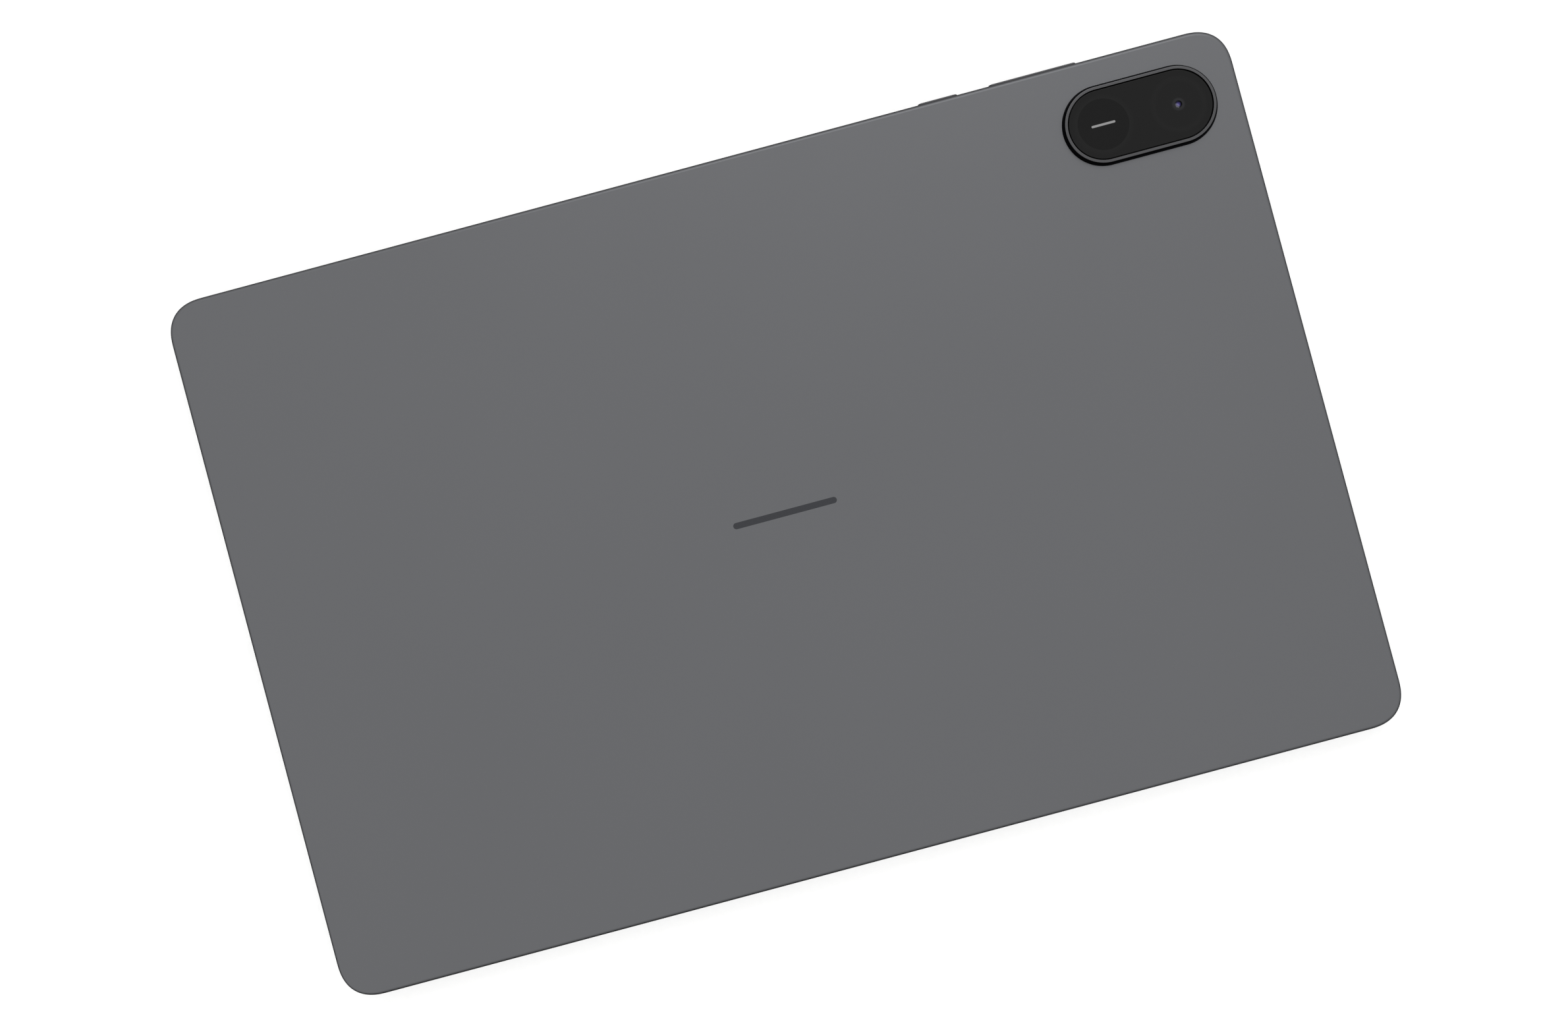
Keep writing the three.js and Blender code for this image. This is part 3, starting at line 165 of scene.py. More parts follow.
def pattern_on(tree, kind, settings):
    """Adds a texture that lies still on the piece."""
    place = add_node(tree, "ShaderNodeTexCoord")
    return add_node(tree, kind, settings, Vector=place.outputs["Object"])


def lay_finish(tree, shader, pattern, dark, light, rough=None, relief=None):
    """Lets a pattern move a finish between two colours. rough is (pattern, least, most), and relief
    is (pattern, strength, depth). Returns the mixed colour."""
    tint = add_node(tree, "ShaderNodeMix", {"data_type": "RGBA", 6: dark, 7: light}, Factor=pattern)
    tree.links.new(tint.outputs[2], shader.inputs["Base Color"])
    if rough:
        source, least, most = rough
        spread = add_node(tree, "ShaderNodeMapRange", {"To Min": least, "To Max": most}, Value=source)
        tree.links.new(spread.outputs[0], shader.inputs["Roughness"])
    if relief:
        source, strength, depth = relief
        bump = add_node(tree, "ShaderNodeBump", {"Strength": strength, "Distance": depth}, Height=source)
        tree.links.new(bump.outputs[0], shader.inputs["Normal"])
    return tint.outputs[2]


paper, tree, shader = finish_material("matt_backdrop_paper", Roughness=0.9, Emission_Strength=0.62)
FIBRES_PER_METRE = 900.0
fibres = pattern_on(tree, "ShaderNodeTexNoise", {"Scale": FIBRES_PER_METRE, "Detail": 2.0})
tint = lay_finish(tree, shader, fibres.outputs["Fac"], colour("f4f4f3"), colour("fafafa"))
tree.links.new(tint, shader.inputs["Emission Color"])
# Only the table's upper side is there, so that the screen can be seen from below.
paper_side = add_node(tree, "ShaderNodeNewGeometry")
upper_only = add_node(tree, "ShaderNodeMath", {"operation": "SUBTRACT", 0: 1.0},
                      i1=paper_side.outputs["Backfacing"])
tree.links.new(upper_only.outputs[0], shader.inputs["Alpha"])
TABLE_RADIUS, SWEEP_RADIUS, SWEEP_STEPS, TABLE_SIDES, TABLE_DROP = 2.6, 2.0, 16, 96, 0.1 * MM
profile = [(TABLE_RADIUS + SWEEP_RADIUS * math.sin(step / SWEEP_STEPS * math.pi / 2),
            SWEEP_RADIUS * (1 - math.cos(step / SWEEP_STEPS * math.pi / 2)) - TABLE_DROP)
           for step in range(SWEEP_STEPS + 1)]
points = [(r * math.cos(2 * math.pi * i / TABLE_SIDES), r * math.sin(2 * math.pi * i / TABLE_SIDES), z)
          for r, z in profile for i in range(TABLE_SIDES)]
faces = [tuple(range(TABLE_SIDES))]
for band in range(SWEEP_STEPS):
    below, above = band * TABLE_SIDES, (band + 1) * TABLE_SIDES
    for i in range(TABLE_SIDES):
        j = (i + 1) % TABLE_SIDES
        faces.append((below + i, below + j, above + j, above + i))
table = mesh_piece("table", points, faces, [paper])
if table.data.polygons[0].normal.z < 0:
    table.data.flip_normals()
table.data.shade_smooth()
table.visible_diffuse = False
table.visible_glossy = False
table.visible_transmission = False
table.visible_shadow = False
table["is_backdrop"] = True

# ---------------------------------------------------------------- rear cover
# One aluminium shell, milled and bead-blasted, then anodised grey: the back, the rolled edge
# and the side walls are one skin. Its slots and holes are milled with a small chamfer.

cover_low, cover_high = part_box("rear_cover")
half_length, half_width = cover_high.x, cover_high.y
rim, back = cover_low.z, cover_high.z
CORNER_REACH, CORNER_POWER, CORNER_STEPS = 9.8 * MM, 2.5, 40
ROLL_WIDTH, ROLL_HEIGHT, ROLL_STEPS = 1.1 * MM, 1.5 * MM, 14
SIDE_WALL, BACK_WALL, RIM_CHAMFER = 0.9 * MM, 0.8 * MM, 0.35 * MM
MILLED_CHAMFER = 0.12 * MM
FIT_GAP = 0.15 * MM
OVERCUT = 1 * MM  # how far a cutter reaches past the face that it cuts


def rounded_outline(half_x, half_y, reach, z, power=CORNER_POWER):
    """Ring of points around a rectangle with superellipse corners, at one height."""
    points = []
    for corner in range(4):
        side_x = 1 if corner in (0, 3) else -1
        side_y = 1 if corner < 2 else -1
        for step in range(CORNER_STEPS + 1):
            angle = (corner + step / CORNER_STEPS) * math.pi / 2
            x = abs(math.cos(angle)) ** (2 / power)
            y = abs(math.sin(angle)) ** (2 / power)
            points.append(Vector((side_x * (half_x - reach + reach * x),
                                  side_y * (half_y - reach + reach * y), z)))
    return points


def body_outline(inset, z):
    """The body's outline, set in by the same distance all round."""
    return rounded_outline(half_length - inset, half_width - inset, CORNER_REACH - inset, z)


def stadium(centre, across, up, length, height, steps=16):
    """Closed ring with straight sides and half-round ends, in the plane of two directions."""
    radius = height / 2
    points = []
    for end in (1, -1):
        for step in range(steps + 1):
            angle = (step / steps - 0.5) * math.pi
            x = end * ((length - height) / 2 + radius * math.cos(angle))
            points.append(centre + across * x + up * (end * radius * math.sin(angle)))
    return points


def loft(name, rings, materials, closed=False, second=()):
    """Skin through rings of points. An open skin is capped at both ends, and the bands in
    second, counted from the first ring, take the second material."""
    count = len(rings[0])
    faces = []
    for band in range(len(rings) if closed else len(rings) - 1):
        below, above = band * count, (band + 1) % len(rings) * count
        faces += [(below + i, below + (i + 1) % count, above + (i + 1) % count, above + i)
                  for i in range(count)]
    face_materials = [int(face // count in second) for face in range(len(faces))]
    if not closed:
        last = (len(rings) - 1) * count
        faces += [tuple(reversed(range(count))), tuple(range(last, last + count))]
        face_materials += [0, 0]
    return mesh_piece(name, [p for ring in rings for p in ring], faces, materials, face_materials)


def bake_modifiers(piece):
    """Turns the piece with its modifiers into a plain mesh."""
    evaluated = piece.evaluated_get(bpy.context.evaluated_depsgraph_get())
    mesh = bpy.data.meshes.new_from_object(evaluated)
    piece.modifiers.clear()
    piece.data = mesh
    return piece


def combine(piece, others, operation="DIFFERENCE"):
    """Cuts the other solids out of the piece, or joins them to it."""
    for other in others:
        change = piece.modifiers.new(other.name, "BOOLEAN")
        change.operation = operation
        change.solver = "EXACT"
        change.object = other
    bake_modifiers(piece)
    for other in others:
        bpy.data.objects.remove(other)
    return piece


def smooth(piece, sharp_degrees=32):
    """Smooth shading that keeps flat faces flat and true corners sharp."""
    piece.data.shade_smooth()
    piece.data.set_sharp_from_angle(angle=math.radians(sharp_degrees))
    weighted = piece.modifiers.new("flat_faces", "WEIGHTED_NORMAL")
    weighted.keep_sharp = True
    return bake_modifiers(piece)


AXES = {"x": Vector((1, 0, 0)), "y": Vector((0, 1, 0)), "z": Vector((0, 0, 1))}


def milled_slot(name, centre, through, across, length, height, wall=SIDE_WALL):
    """Cutter for a slot through a wall that is centred on the cutter: it flares at both faces."""
    up = AXES["z"]
    half, flare = wall / 2, MILLED_CHAMFER
    rings = []
    for side in (-1, 1):
        steps = ((half + OVERCUT, flare), (half, flare), (half - flare, 0))
        for depth, wider in steps if side < 0 else reversed(steps):
            rings.append(stadium(centre + through * side * depth, across, up,
                                 length + 2 * wider, height + 2 * wider))
    return loft(name, rings, [])


def bar_mask(tree, place, centre, straight, radius, edge=0.03 * MM):
    """1 inside a bar with round ends that lies along X, or inside a disc where straight is 0."""
    away = add_node(tree, "ShaderNodeVectorMath", {"operation": "SUBTRACT", 1: centre}, i0=place)
    folded = add_node(tree, "ShaderNodeVectorMath", {"operation": "ABSOLUTE"}, i0=away.outputs[0])
    past = add_node(tree, "ShaderNodeVectorMath", {"operation": "SUBTRACT", 1: (straight / 2, 0, 0)},
                    i0=folded.outputs[0])
    outside = add_node(tree, "ShaderNodeVectorMath", {"operation": "MAXIMUM", 1: (0, 0, 0)},
                       i0=past.outputs[0])
    flat = add_node(tree, "ShaderNodeVectorMath", {"operation": "MULTIPLY", 1: (1, 1, 0)},
                    i0=outside.outputs[0])
    distance = add_node(tree, "ShaderNodeVectorMath", {"operation": "LENGTH"}, i0=flat.outputs[0])
    limits = {"From Min": radius - edge, "From Max": radius + edge, "To Min": 1.0, "To Max": 0.0}
    return add_node(tree, "ShaderNodeMapRange", limits, Value=distance.outputs["Value"]).outputs[0]


# Bead-blasted, anodised aluminium: a fine even grain with a satin sheen. Light that leaves at a
# low angle has a longer way through the dyed layer, so the edges look darker.
def anodised(name, hex_code, roughness):
    material, tree, shader = finish_material(name, Metallic=1.0, Specular_Tint=colour("d0d0d4"))
    # Blasting leaves dimples of about 0.1 mm. They are drawn at 0.3 mm so that a trace of them shows.
    grain = pattern_on(tree, "ShaderNodeTexNoise", {"Scale": 1 / (0.3 * MM), "Detail": 3.0, "Roughness": 0.6})
    clouds = pattern_on(tree, "ShaderNodeTexNoise", {"Scale": 1 / (60 * MM), "Detail": 2.0})
    # Noise seldom leaves 0.3 to 0.7, so that span is spread over each effect.
    speckle, drift, rough = [
        add_node(tree, "ShaderNodeMapRange", {"From Min": 0.3, "From Max": 0.7, "To Min": least,
                                              "To Max": most}, Value=noise.outputs["Fac"])
        for noise, least, most in ((grain, 0.985, 1.015), (clouds, 0.99, 1.01),
                                   (grain, roughness - 0.03, roughness + 0.03))]
    both = add_node(tree, "ShaderNodeMath", {"operation": "MULTIPLY"},
                    i0=speckle.outputs[0], i1=drift.outputs[0])
    tint = add_node(tree, "ShaderNodeMix", {"data_type": "RGBA", "blend_type": "MULTIPLY", "Factor": 1.0,
                                            6: colour(hex_code)}, i7=both.outputs[0])
    tree.links.new(tint.outputs[2], shader.inputs["Base Color"])
    tree.links.new(rough.outputs[0], shader.inputs["Roughness"])
    bump = add_node(tree, "ShaderNodeBump", {"Strength": 0.05, "Distance": 0.01 * MM},
                    Height=grain.outputs["Fac"])
    tree.links.new(bump.outputs[0], shader.inputs["Normal"])
    return material, tree, shader, tint


cover_finish, cover_tree, cover_shader, cover_tint = anodised("anodised_grey_aluminium", "88898c", 0.40)
# A plain bar is printed in the middle of the back, darker than the metal.
MARK_LENGTH, MARK_WIDTH = 25.0 * MM, 1.5 * MM
cover_place = add_node(cover_tree, "ShaderNodeTexCoord")
mark = bar_mask(cover_tree, cover_place.outputs["Object"], (0, 0, 0),
                MARK_LENGTH - MARK_WIDTH, MARK_WIDTH / 2)
printed = add_node(cover_tree, "ShaderNodeMix", {"data_type": "RGBA", 7: colour("56575b")}, Factor=mark,
                   A=cover_tint.outputs[2])
cover_tree.links.new(printed.outputs[2], cover_shader.inputs["Base Color"])

rings = [body_outline(SIDE_WALL + ROLL_WIDTH / 4, back - BACK_WALL),
         body_outline(SIDE_WALL, back - ROLL_HEIGHT),
         body_outline(SIDE_WALL, rim),
         body_outline(RIM_CHAMFER, rim),
         body_outline(0, rim + RIM_CHAMFER)]
for step in range(ROLL_STEPS + 1):
    angle = step / ROLL_STEPS * math.pi / 2
    rings.append(body_outline(ROLL_WIDTH * (1 - math.cos(angle)), back - ROLL_HEIGHT * (1 - math.sin(angle))))
rear_cover = loft("rear_cover_shell", rings, [cover_finish])

island_low, island_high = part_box("camera_ring")
island_centre = (island_low + island_high) / 2
island_length, island_width = island_high.x - island_low.x, island_high.y - island_low.y
ISLAND_STEPS = 48


def island_outline(inset, z):
    centre = Vector((island_centre.x, island_centre.y, z))
    return stadium(centre, AXES["x"], AXES["y"], island_length - 2 * inset, island_width - 2 * inset,
                   ISLAND_STEPS)


cutters = [loft("island_opening", [island_outline(-FIT_GAP, back - 2 * OVERCUT),
                                   island_outline(-FIT_GAP, back + OVERCUT)], [])]
KEY_FLANGE = 0.25 * MM
for node in ("power_key", "volume_key"):
    low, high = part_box(node)
    middle = Vector(((low.x + high.x) / 2, half_width - SIDE_WALL / 2, (low.z + high.z) / 2))
    spare = 2 * (FIT_GAP - KEY_FLANGE)
    cutters.append(milled_slot(node + "_slot", middle, AXES["y"], AXES["x"],
                               high.x - low.x + spare, high.z - low.z + spare))
MIC_HOLE = 1.0 * MM


def end_opening(name, side, low, high, wide, tall):
    """Cutter through a short side wall, level with the piece behind it."""
    middle = Vector((side * (half_length - SIDE_WALL / 2), (low.y + high.y) / 2, (low.z + high.z) / 2))
    cutters.append(milled_slot(name, middle, AXES["x"], AXES["y"], wide, tall))
    return middle


tray_low, tray_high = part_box("card_tray")
socket_low, socket_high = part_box("usb_socket")
tray_wide, tray_tall = tray_high.y - tray_low.y, tray_high.z - tray_low.z
socket_wide, socket_tall = socket_high.y - socket_low.y, socket_high.z - socket_low.z
tray_middle = end_opening("tray_slot", 1, tray_low, tray_high,
                          tray_wide + 2 * FIT_GAP, tray_tall + 2 * FIT_GAP)
socket_middle = end_opening("socket_mouth", -1, socket_low, socket_high,
                            socket_wide + 2 * FIT_GAP, socket_tall + 2 * FIT_GAP)
end_opening("microphone_hole", -1, *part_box("microphone"), MIC_HOLE, MIC_HOLE)
combine(rear_cover, cutters)

# The sound holes are drilled in rows of eight: a tree repeats one drill along the row and cuts.
GRILLE_HOLES, GRILLE_PITCH, GRILLE_HOLE = 8, 2.4 * MM, 1.1 * MM


def set_inputs(modifier, values):
    """Sets a Geometry Nodes modifier's inputs by the names in its tree."""
    for item in modifier.node_group.interface.items_tree:
        if item.item_type == "SOCKET" and item.in_out == "INPUT" and item.name in values:
            modifier[item.identifier] = values[item.name]


def new_tree(name, **inputs):
    """Geometry Nodes tree with a geometry input, the named inputs and a geometry output."""
    tree = bpy.data.node_groups.new(name, "GeometryNodeTree")
    tree.interface.new_socket("Geometry", in_out="INPUT", socket_type="NodeSocketGeometry")
    for key, kind in inputs.items():
        tree.interface.new_socket(key.capitalize(), in_out="INPUT", socket_type="NodeSocket" + kind)
    tree.interface.new_socket("Geometry", in_out="OUTPUT", socket_type="NodeSocketGeometry")
    return tree, add_node(tree, "NodeGroupInput").outputs


def copies(tree, points, shape):
    """Sets a copy of the object on every point."""
    source = add_node(tree, "GeometryNodeObjectInfo", Object=shape)
    return add_node(tree, "GeometryNodeInstanceOnPoints", Points=points,
                    Instance=source.outputs["Geometry"]).outputs["Instances"]


def end_tree(tree, geometry, finish):
    """Makes a tree's copies real, and gives the result its finish."""
    real = add_node(tree, "GeometryNodeRealizeInstances", Geometry=geometry)
    dressed = add_node(tree, "GeometryNodeSetMaterial", Geometry=real.outputs["Geometry"], Material=finish)
    add_node(tree, "NodeGroupOutput", Geometry=dressed.outputs["Geometry"])


drilling, given = new_tree("sound_hole_row", drill="Object", count="Int", start="Vector", pitch="Vector",
                           finish="Material")
row = add_node(drilling, "GeometryNodeMeshLine", Count=given["Count"], Start_Location=given["Start"],
               Offset=given["Pitch"])
drills = add_node(drilling, "GeometryNodeRealizeInstances",
                  Geometry=copies(drilling, row.outputs["Mesh"], given["Drill"]))
drilled = add_node(drilling, "GeometryNodeMeshBoolean", {"operation": "DIFFERENCE", "solver": "EXACT"},
                   i0=given["Geometry"], i1=drills.outputs["Geometry"])
end_tree(drilling, drilled.outputs["Mesh"], given["Finish"])

drill = milled_slot("sound_hole_drill", Vector((0, 0, 0)), AXES["x"], AXES["y"], GRILLE_HOLE, GRILLE_HOLE)
SPEAKER_PLACES = ("upper_left", "lower_left", "upper_right", "lower_right")
for node in ["speaker_mesh_" + place for place in SPEAKER_PLACES]:
    low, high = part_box(node)
    side = 1 if low.x > 0 else -1
    row_start = Vector((side * (half_length - SIDE_WALL / 2),
                        (low.y + high.y - (GRILLE_HOLES - 1) * GRILLE_PITCH) / 2, (low.z + high.z) / 2))
    repeat = rear_cover.modifiers.new(node, "NODES")
    repeat.node_group = drilling
    set_inputs(repeat, {"Drill": drill, "Count": GRILLE_HOLES, "Start": row_start,
                        "Pitch": (0, GRILLE_PITCH, 0), "Finish": cover_finish})
bake_modifiers(rear_cover)
bpy.data.objects.remove(drill)
smooth(rear_cover)
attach(rear_cover, "tablet")
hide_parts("rear_cover")


# ---------------------------------------------------------------- camera island
# An oval island stands out of the back. Its black base sits under the shell, a machined ring
# with near-black sides and a grey anodised top surrounds it, and a black-printed glass closes it.
# The near black of the ring's sides is partly their own dark finish, partly painted shade.


def dress(material, *nodes):
    """Gives CAD nodes their material."""
    for node in nodes:
        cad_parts[node].data.materials.clear()
        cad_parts[node].data.materials.append(material)


def place_piece(piece, body, slot, *nodes):
    """Hands a finished piece over: the body it moves with, its slot, which is not used, and the nodes it
    stands for.
    """
    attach(piece, body)
    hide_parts(*nodes)


trim_finish = anodised("anodised_dark_trim", "6b6b6d", 0.36)[0]
RING_WIDTH, RING_ROLL_WIDTH, RING_ROLL_HEIGHT, RING_EASE = 1.1 * MM, 0.55 * MM, 1.1 * MM, 0.08 * MM
ROUND_STEPS = 12
ring_foot, ring_top = island_low.z, island_high.z
rings = [island_outline(0, ring_foot)]
for step in range(ROUND_STEPS + 1):
    angle = step / ROUND_STEPS * math.pi / 2
    rings.append(island_outline(RING_ROLL_WIDTH * (1 - math.cos(angle)),
                                ring_top - RING_ROLL_HEIGHT * (1 - math.sin(angle))))
rings += [island_outline(RING_WIDTH - RING_EASE, ring_top),
          island_outline(RING_WIDTH, ring_top - RING_EASE),
          island_outline(RING_WIDTH, ring_foot)]
# The ring's outer wall, most of its roll, its inner edge and inner wall take a near-black finish: partly the
# ring's own dark side, partly painted shade where these walls turn from the light.
black_side_and_painted_shade = anodised("black_anodised_side_and_painted_shade", "121213", 0.45)[0]
black_and_shaded_bands = (*range(ROUND_STEPS - 1), len(rings) - 3, len(rings) - 2, len(rings) - 1)
camera_ring = smooth(loft("camera_trim_ring", rings, [trim_finish, black_side_and_painted_shade], closed=True,
                          second=black_and_shaded_bands))
place_piece(camera_ring, "tablet", "anodised_trim", "camera_ring")


def darker(hex_code, share):
    """A colour with only a share of its light."""
    return [share * c for c in colour(hex_code)[:3]] + [1.0]


# Moulded black polycarbonate: matt, with the fine spark-eroded texture of its tool.
def moulded(name, hex_code, roughness, grain=0.25 * MM):
    material, tree, shader = finish_material(name, IOR=1.58)
    texture = pattern_on(tree, "ShaderNodeTexNoise", {"Scale": 1 / grain, "Detail": 2.0}).outputs["Fac"]
    lay_finish(tree, shader, texture, darker(hex_code, 0.8), colour(hex_code),
               (texture, roughness - 0.06, roughness + 0.06), (texture, 0.15, 0.01 * MM))
    return material


black_moulding = moulded("black_polycarbonate", "1c1c1e", 0.5)
dress(black_moulding, "camera_base", "rear_camera_module")


# Print on the inner face of a glass: an even black ink, a little uneven where it was laid on thinner.
# It wets the glass, so the two together give one reflection.
def screen_ink(name, hex_code, **sockets):
    material, tree, shader = finish_material(name, **sockets)
    film = pattern_on(tree, "ShaderNodeTexNoise", {"Scale": 1 / (1.2 * MM), "Detail": 3.0})
    tint = lay_finish(tree, shader, film.outputs["Fac"], darker(hex_code, 0.85), colour(hex_code))
    return material, tree, shader, tint


lens_low, lens_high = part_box("rear_camera_lens")
lens_centre = (lens_low + lens_high) / 2
WINDOW, PAINTED_LENS_RING, LEFT_DISC, RIGHT_RING = 1.7 * MM, 2.9 * MM, 12.06 * MM, 12.8 * MM
left_centre = (island_centre.x - (island_length - island_width) / 2, island_centre.y, 0)
island_ink, ink_tree, ink_shader, below = screen_ink("black_print_under_glass", "161616", Roughness=0.03,
                                                     IOR=1.38)
at = add_node(ink_tree, "ShaderNodeTexCoord").outputs["Object"]
# Each layer of the print, where one grey ring is a painted reflection of the lens: its centre, straight
# length, radius, softness of the edge, and colour.
for centre, straight, radius, soft, hex_code in (
        (left_centre, 0, LEFT_DISC / 2 + 0.7 * MM, 0.6 * MM, "1b1b1b"),
        (left_centre, 0, LEFT_DISC / 2, 0.08 * MM, "090909"),
        (lens_centre, 0, RIGHT_RING / 2, 0.5 * MM, "1b1b1b"),
        (lens_centre, 0, RIGHT_RING / 2 - 0.8 * MM, 0.5 * MM, "161616"),
        # Grey ring around the clear window: painted reflection of the lens's front element, printed in place
        # of the lens that lies deeper.
        (lens_centre, 0, PAINTED_LENS_RING / 2, 0.2 * MM, "2d2d2f"),
        (left_centre, 5.2 * MM, 0.26 * MM, 0.03 * MM, "b8b8b8")):
    over = add_node(ink_tree, "ShaderNodeMix", {"data_type": "RGBA", 7: colour(hex_code)},
                    Factor=bar_mask(ink_tree, at, centre, straight, radius, soft), i6=below)
    below = over.outputs[2]
ink_tree.links.new(below, ink_shader.inputs["Base Color"])

glass_low, glass_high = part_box("camera_glass")
TRIM_GAP, GLASS_BEVEL = 0.2 * MM, 0.12 * MM
EASE_BEND = 0.3  # where an eased edge bends, as a share of its width
glass_inset = RING_WIDTH + TRIM_GAP

# The print shows black through the glass all over, and leaves a clear window over the lens.
window = bar_mask(ink_tree, at, lens_centre, 0, WINDOW / 2)
printed = add_node(ink_tree, "ShaderNodeMath", {"operation": "SUBTRACT", 0: 1.0}, i1=window)
ink_tree.links.new(printed.outputs[0], ink_shader.inputs["Alpha"])
camera_glass = loft("camera_cover_glass", [
    island_outline(glass_inset, glass_low.z), island_outline(glass_inset, glass_high.z - GLASS_BEVEL),
    island_outline(glass_inset + EASE_BEND * GLASS_BEVEL, glass_high.z - EASE_BEND * GLASS_BEVEL),
    island_outline(glass_inset + GLASS_BEVEL, glass_high.z)], [island_ink])
place_piece(smooth(camera_glass), "tablet", "camera_glass", "camera_glass")
film_ink = screen_ink("dark_island_film", "1d1d1e", Roughness=0.5)[0]
dress(film_ink, "camera_film")


def turned(name, centre, profile, materials, steps=48):
    """Solid of revolution about Z. The profile is (radius, height) pairs, capped at its ends."""
    angles = [2 * math.pi * i / steps for i in range(steps)]
    rings = [[centre + Vector((r * math.cos(angle), r * math.sin(angle), z)) for angle in angles]
             for r, z in profile]
    return smooth(loft(name, rings, materials))


def dome(radius, low, high, outwards=1, steps=8):
    """Profile of a lens element with a flat back, a short rim and a domed front."""
    rim_height = (high - low) / 2
    profile = [(0.5 * radius, low), (radius, low)]
    for step in range(steps):
        angle = step / steps * math.pi / 2
        profile.append((radius * math.cos(angle), low + rim_height + rim_height * math.sin(angle)))
    return [(r, z if outwards > 0 else low + high - z) for r, z in profile]


# Lens element: grey, with painted shade for the depth behind it, and a painted violet glint, the reflection
# of its coating, in its middle.
def lens_with_painted_glint(name, centre, glint_radius):
    material, tree, shader = finish_material(name, Roughness=0.04, IOR=1.9, Coat_Weight=1.0,
                                             Coat_Roughness=0.02)
    place = add_node(tree, "ShaderNodeTexCoord")
    mask = bar_mask(tree, place.outputs["Object"], centre, 0, glint_radius, glint_radius * 0.6)
    # Painted glint: violet inside the glint radius, the lens's grey outside it.
    lay_finish(tree, shader, mask, colour("55555c"), colour("9a8cff"))
    return material


lens_radius = (lens_high.x - lens_low.x) / 2
# The painted glint is set off the lens centre, against the parallax under the glass.
PAINTED_GLINT_OFFSET, PAINTED_GLINT_RADIUS = Vector((0.25, 0.2, 0)) * MM, 0.45 * MM
rear_lens_painted_glint = lens_with_painted_glint("rear_lens_with_painted_glint", lens_centre + PAINTED_GLINT_OFFSET, PAINTED_GLINT_RADIUS)
rear_lens = turned("rear_camera_front_element", Vector((lens_centre.x, lens_centre.y, 0)),
                   dome(lens_radius, lens_low.z, lens_high.z), [rear_lens_painted_glint])
place_piece(rear_lens, "tablet", "lens_glass", "rear_camera_lens")

# ---------------------------------------------------------------- keys
# Power key and volume rocker: anodised aluminium caps that stand a little out of the long
# edge, each with a flange behind the wall and a silicone plunger that works its switches.

FLANGE_SHEET, KEY_EASE = 0.4 * MM, 0.25 * MM
for node in ("power_key", "volume_key"):
    low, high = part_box(node)
    # Each ring: how far it lies inside the flange's outline, and where it is across the body.
    steps = [(0, low.y), (0, low.y + FLANGE_SHEET), (KEY_FLANGE, low.y + FLANGE_SHEET)]
    for step in range(ROUND_STEPS + 1):
        angle = step / ROUND_STEPS * math.pi / 2
        steps.append((KEY_FLANGE + KEY_EASE * (1 - math.cos(angle)),
                      high.y - KEY_EASE * (1 - math.sin(angle))))
    rings = [stadium(Vector(((low.x + high.x) / 2, y, (low.z + high.z) / 2)), AXES["x"], AXES["z"],
                     high.x - low.x - 2 * inset, high.z - low.z - 2 * inset) for inset, y in steps]
    place_piece(smooth(loft(node + "_cap", rings, [trim_finish])), node, "anodised_trim", node)

silicone = moulded("grey_silicone", "3a3a3d", 0.75, 0.4 * MM)
dress(silicone, "power_key_plunger", "volume_key_plunger")
dress(black_moulding, "power_switch", "volume_up_switch", "volume_down_switch")

# ---------------------------------------------------------------- screen
# The screen side: a cover glass with a black printed border, held in a black moulded frame
# whose lip shows around it, over the display panel, the light guide and its metal tray.

frame_low, frame_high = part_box("display_frame")
cover_glass_low, cover_glass_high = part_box("cover_glass")
panel_low, panel_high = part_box("lcd_panel")
frame_inset = half_length - frame_high.x
glass_inset = half_length - cover_glass_high.x
LIP_EASE, WINDOW_CORNER = 0.08 * MM, 0.3 * MM
pocket_inset = glass_inset - FIT_GAP


def panel_window(z):
    return rounded_outline(panel_high.x + FIT_GAP, panel_high.y + FIT_GAP, WINDOW_CORNER, z, 2)


seat = panel_low.z
display_frame = loft("display_bezel", [
    body_outline(frame_inset, frame_low.z + LIP_EASE), body_outline(frame_inset, frame_high.z),
    panel_window(frame_high.z), panel_window(seat),
    body_outline(pocket_inset, seat), body_outline(pocket_inset, frame_low.z + LIP_EASE),
    body_outline(pocket_inset - LIP_EASE, frame_low.z), body_outline(frame_inset + LIP_EASE, frame_low.z)],
    [black_moulding], closed=True)


def block(name, low, high, ease=0, materials=()):
    """Box between two corners, with its edges eased."""
    corners = [(x, y, z) for x in (low[0], high[0]) for y in (low[1], high[1]) for z in (low[2], high[2])]
    faces = [(0, 1, 3, 2), (4, 6, 7, 5), (0, 4, 5, 1), (2, 3, 7, 6), (0, 2, 6, 4), (1, 5, 7, 3)]
    piece = mesh_piece(name, corners, faces, materials)
    if ease:
        bevel = piece.modifiers.new("eased_edges", "BEVEL")
        bevel.width, bevel.segments = ease, 3
        bake_modifiers(piece)
    return piece


bracket_low, bracket_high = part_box("key_bracket")
power_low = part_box("power_key")[0]
BRACKET_SHEET = 0.3 * MM
pocket_top = frame_high.z + OVERCUT
key_pocket = block("key_pocket", (bracket_low.x - FIT_GAP, bracket_high.y - BRACKET_SHEET - FIT_GAP,
                                  power_low.z - FIT_GAP), (bracket_high.x + FIT_GAP, half_width, pocket_top))
socket_pocket = block("socket_pocket", (-half_length, socket_low.y - FIT_GAP, socket_low.z - FIT_GAP),
                      (socket_high.x + FIT_GAP, socket_high.y + FIT_GAP, pocket_top))
front_low, front_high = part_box("front_camera_lens")
front_centre = (front_low + front_high) / 2
FRONT_BARREL = 4.4 * MM
hole = FRONT_BARREL + 2 * FIT_GAP
camera_hole = loft("front_camera_hole", [
    stadium(Vector((front_centre.x, front_centre.y, z)), AXES["x"], AXES["y"], hole, hole)
    for z in (seat - OVERCUT, pocket_top)], [])
combine(display_frame, [key_pocket, socket_pocket, camera_hole])
place_piece(smooth(display_frame), "tablet", "black_moulding", "display_frame")

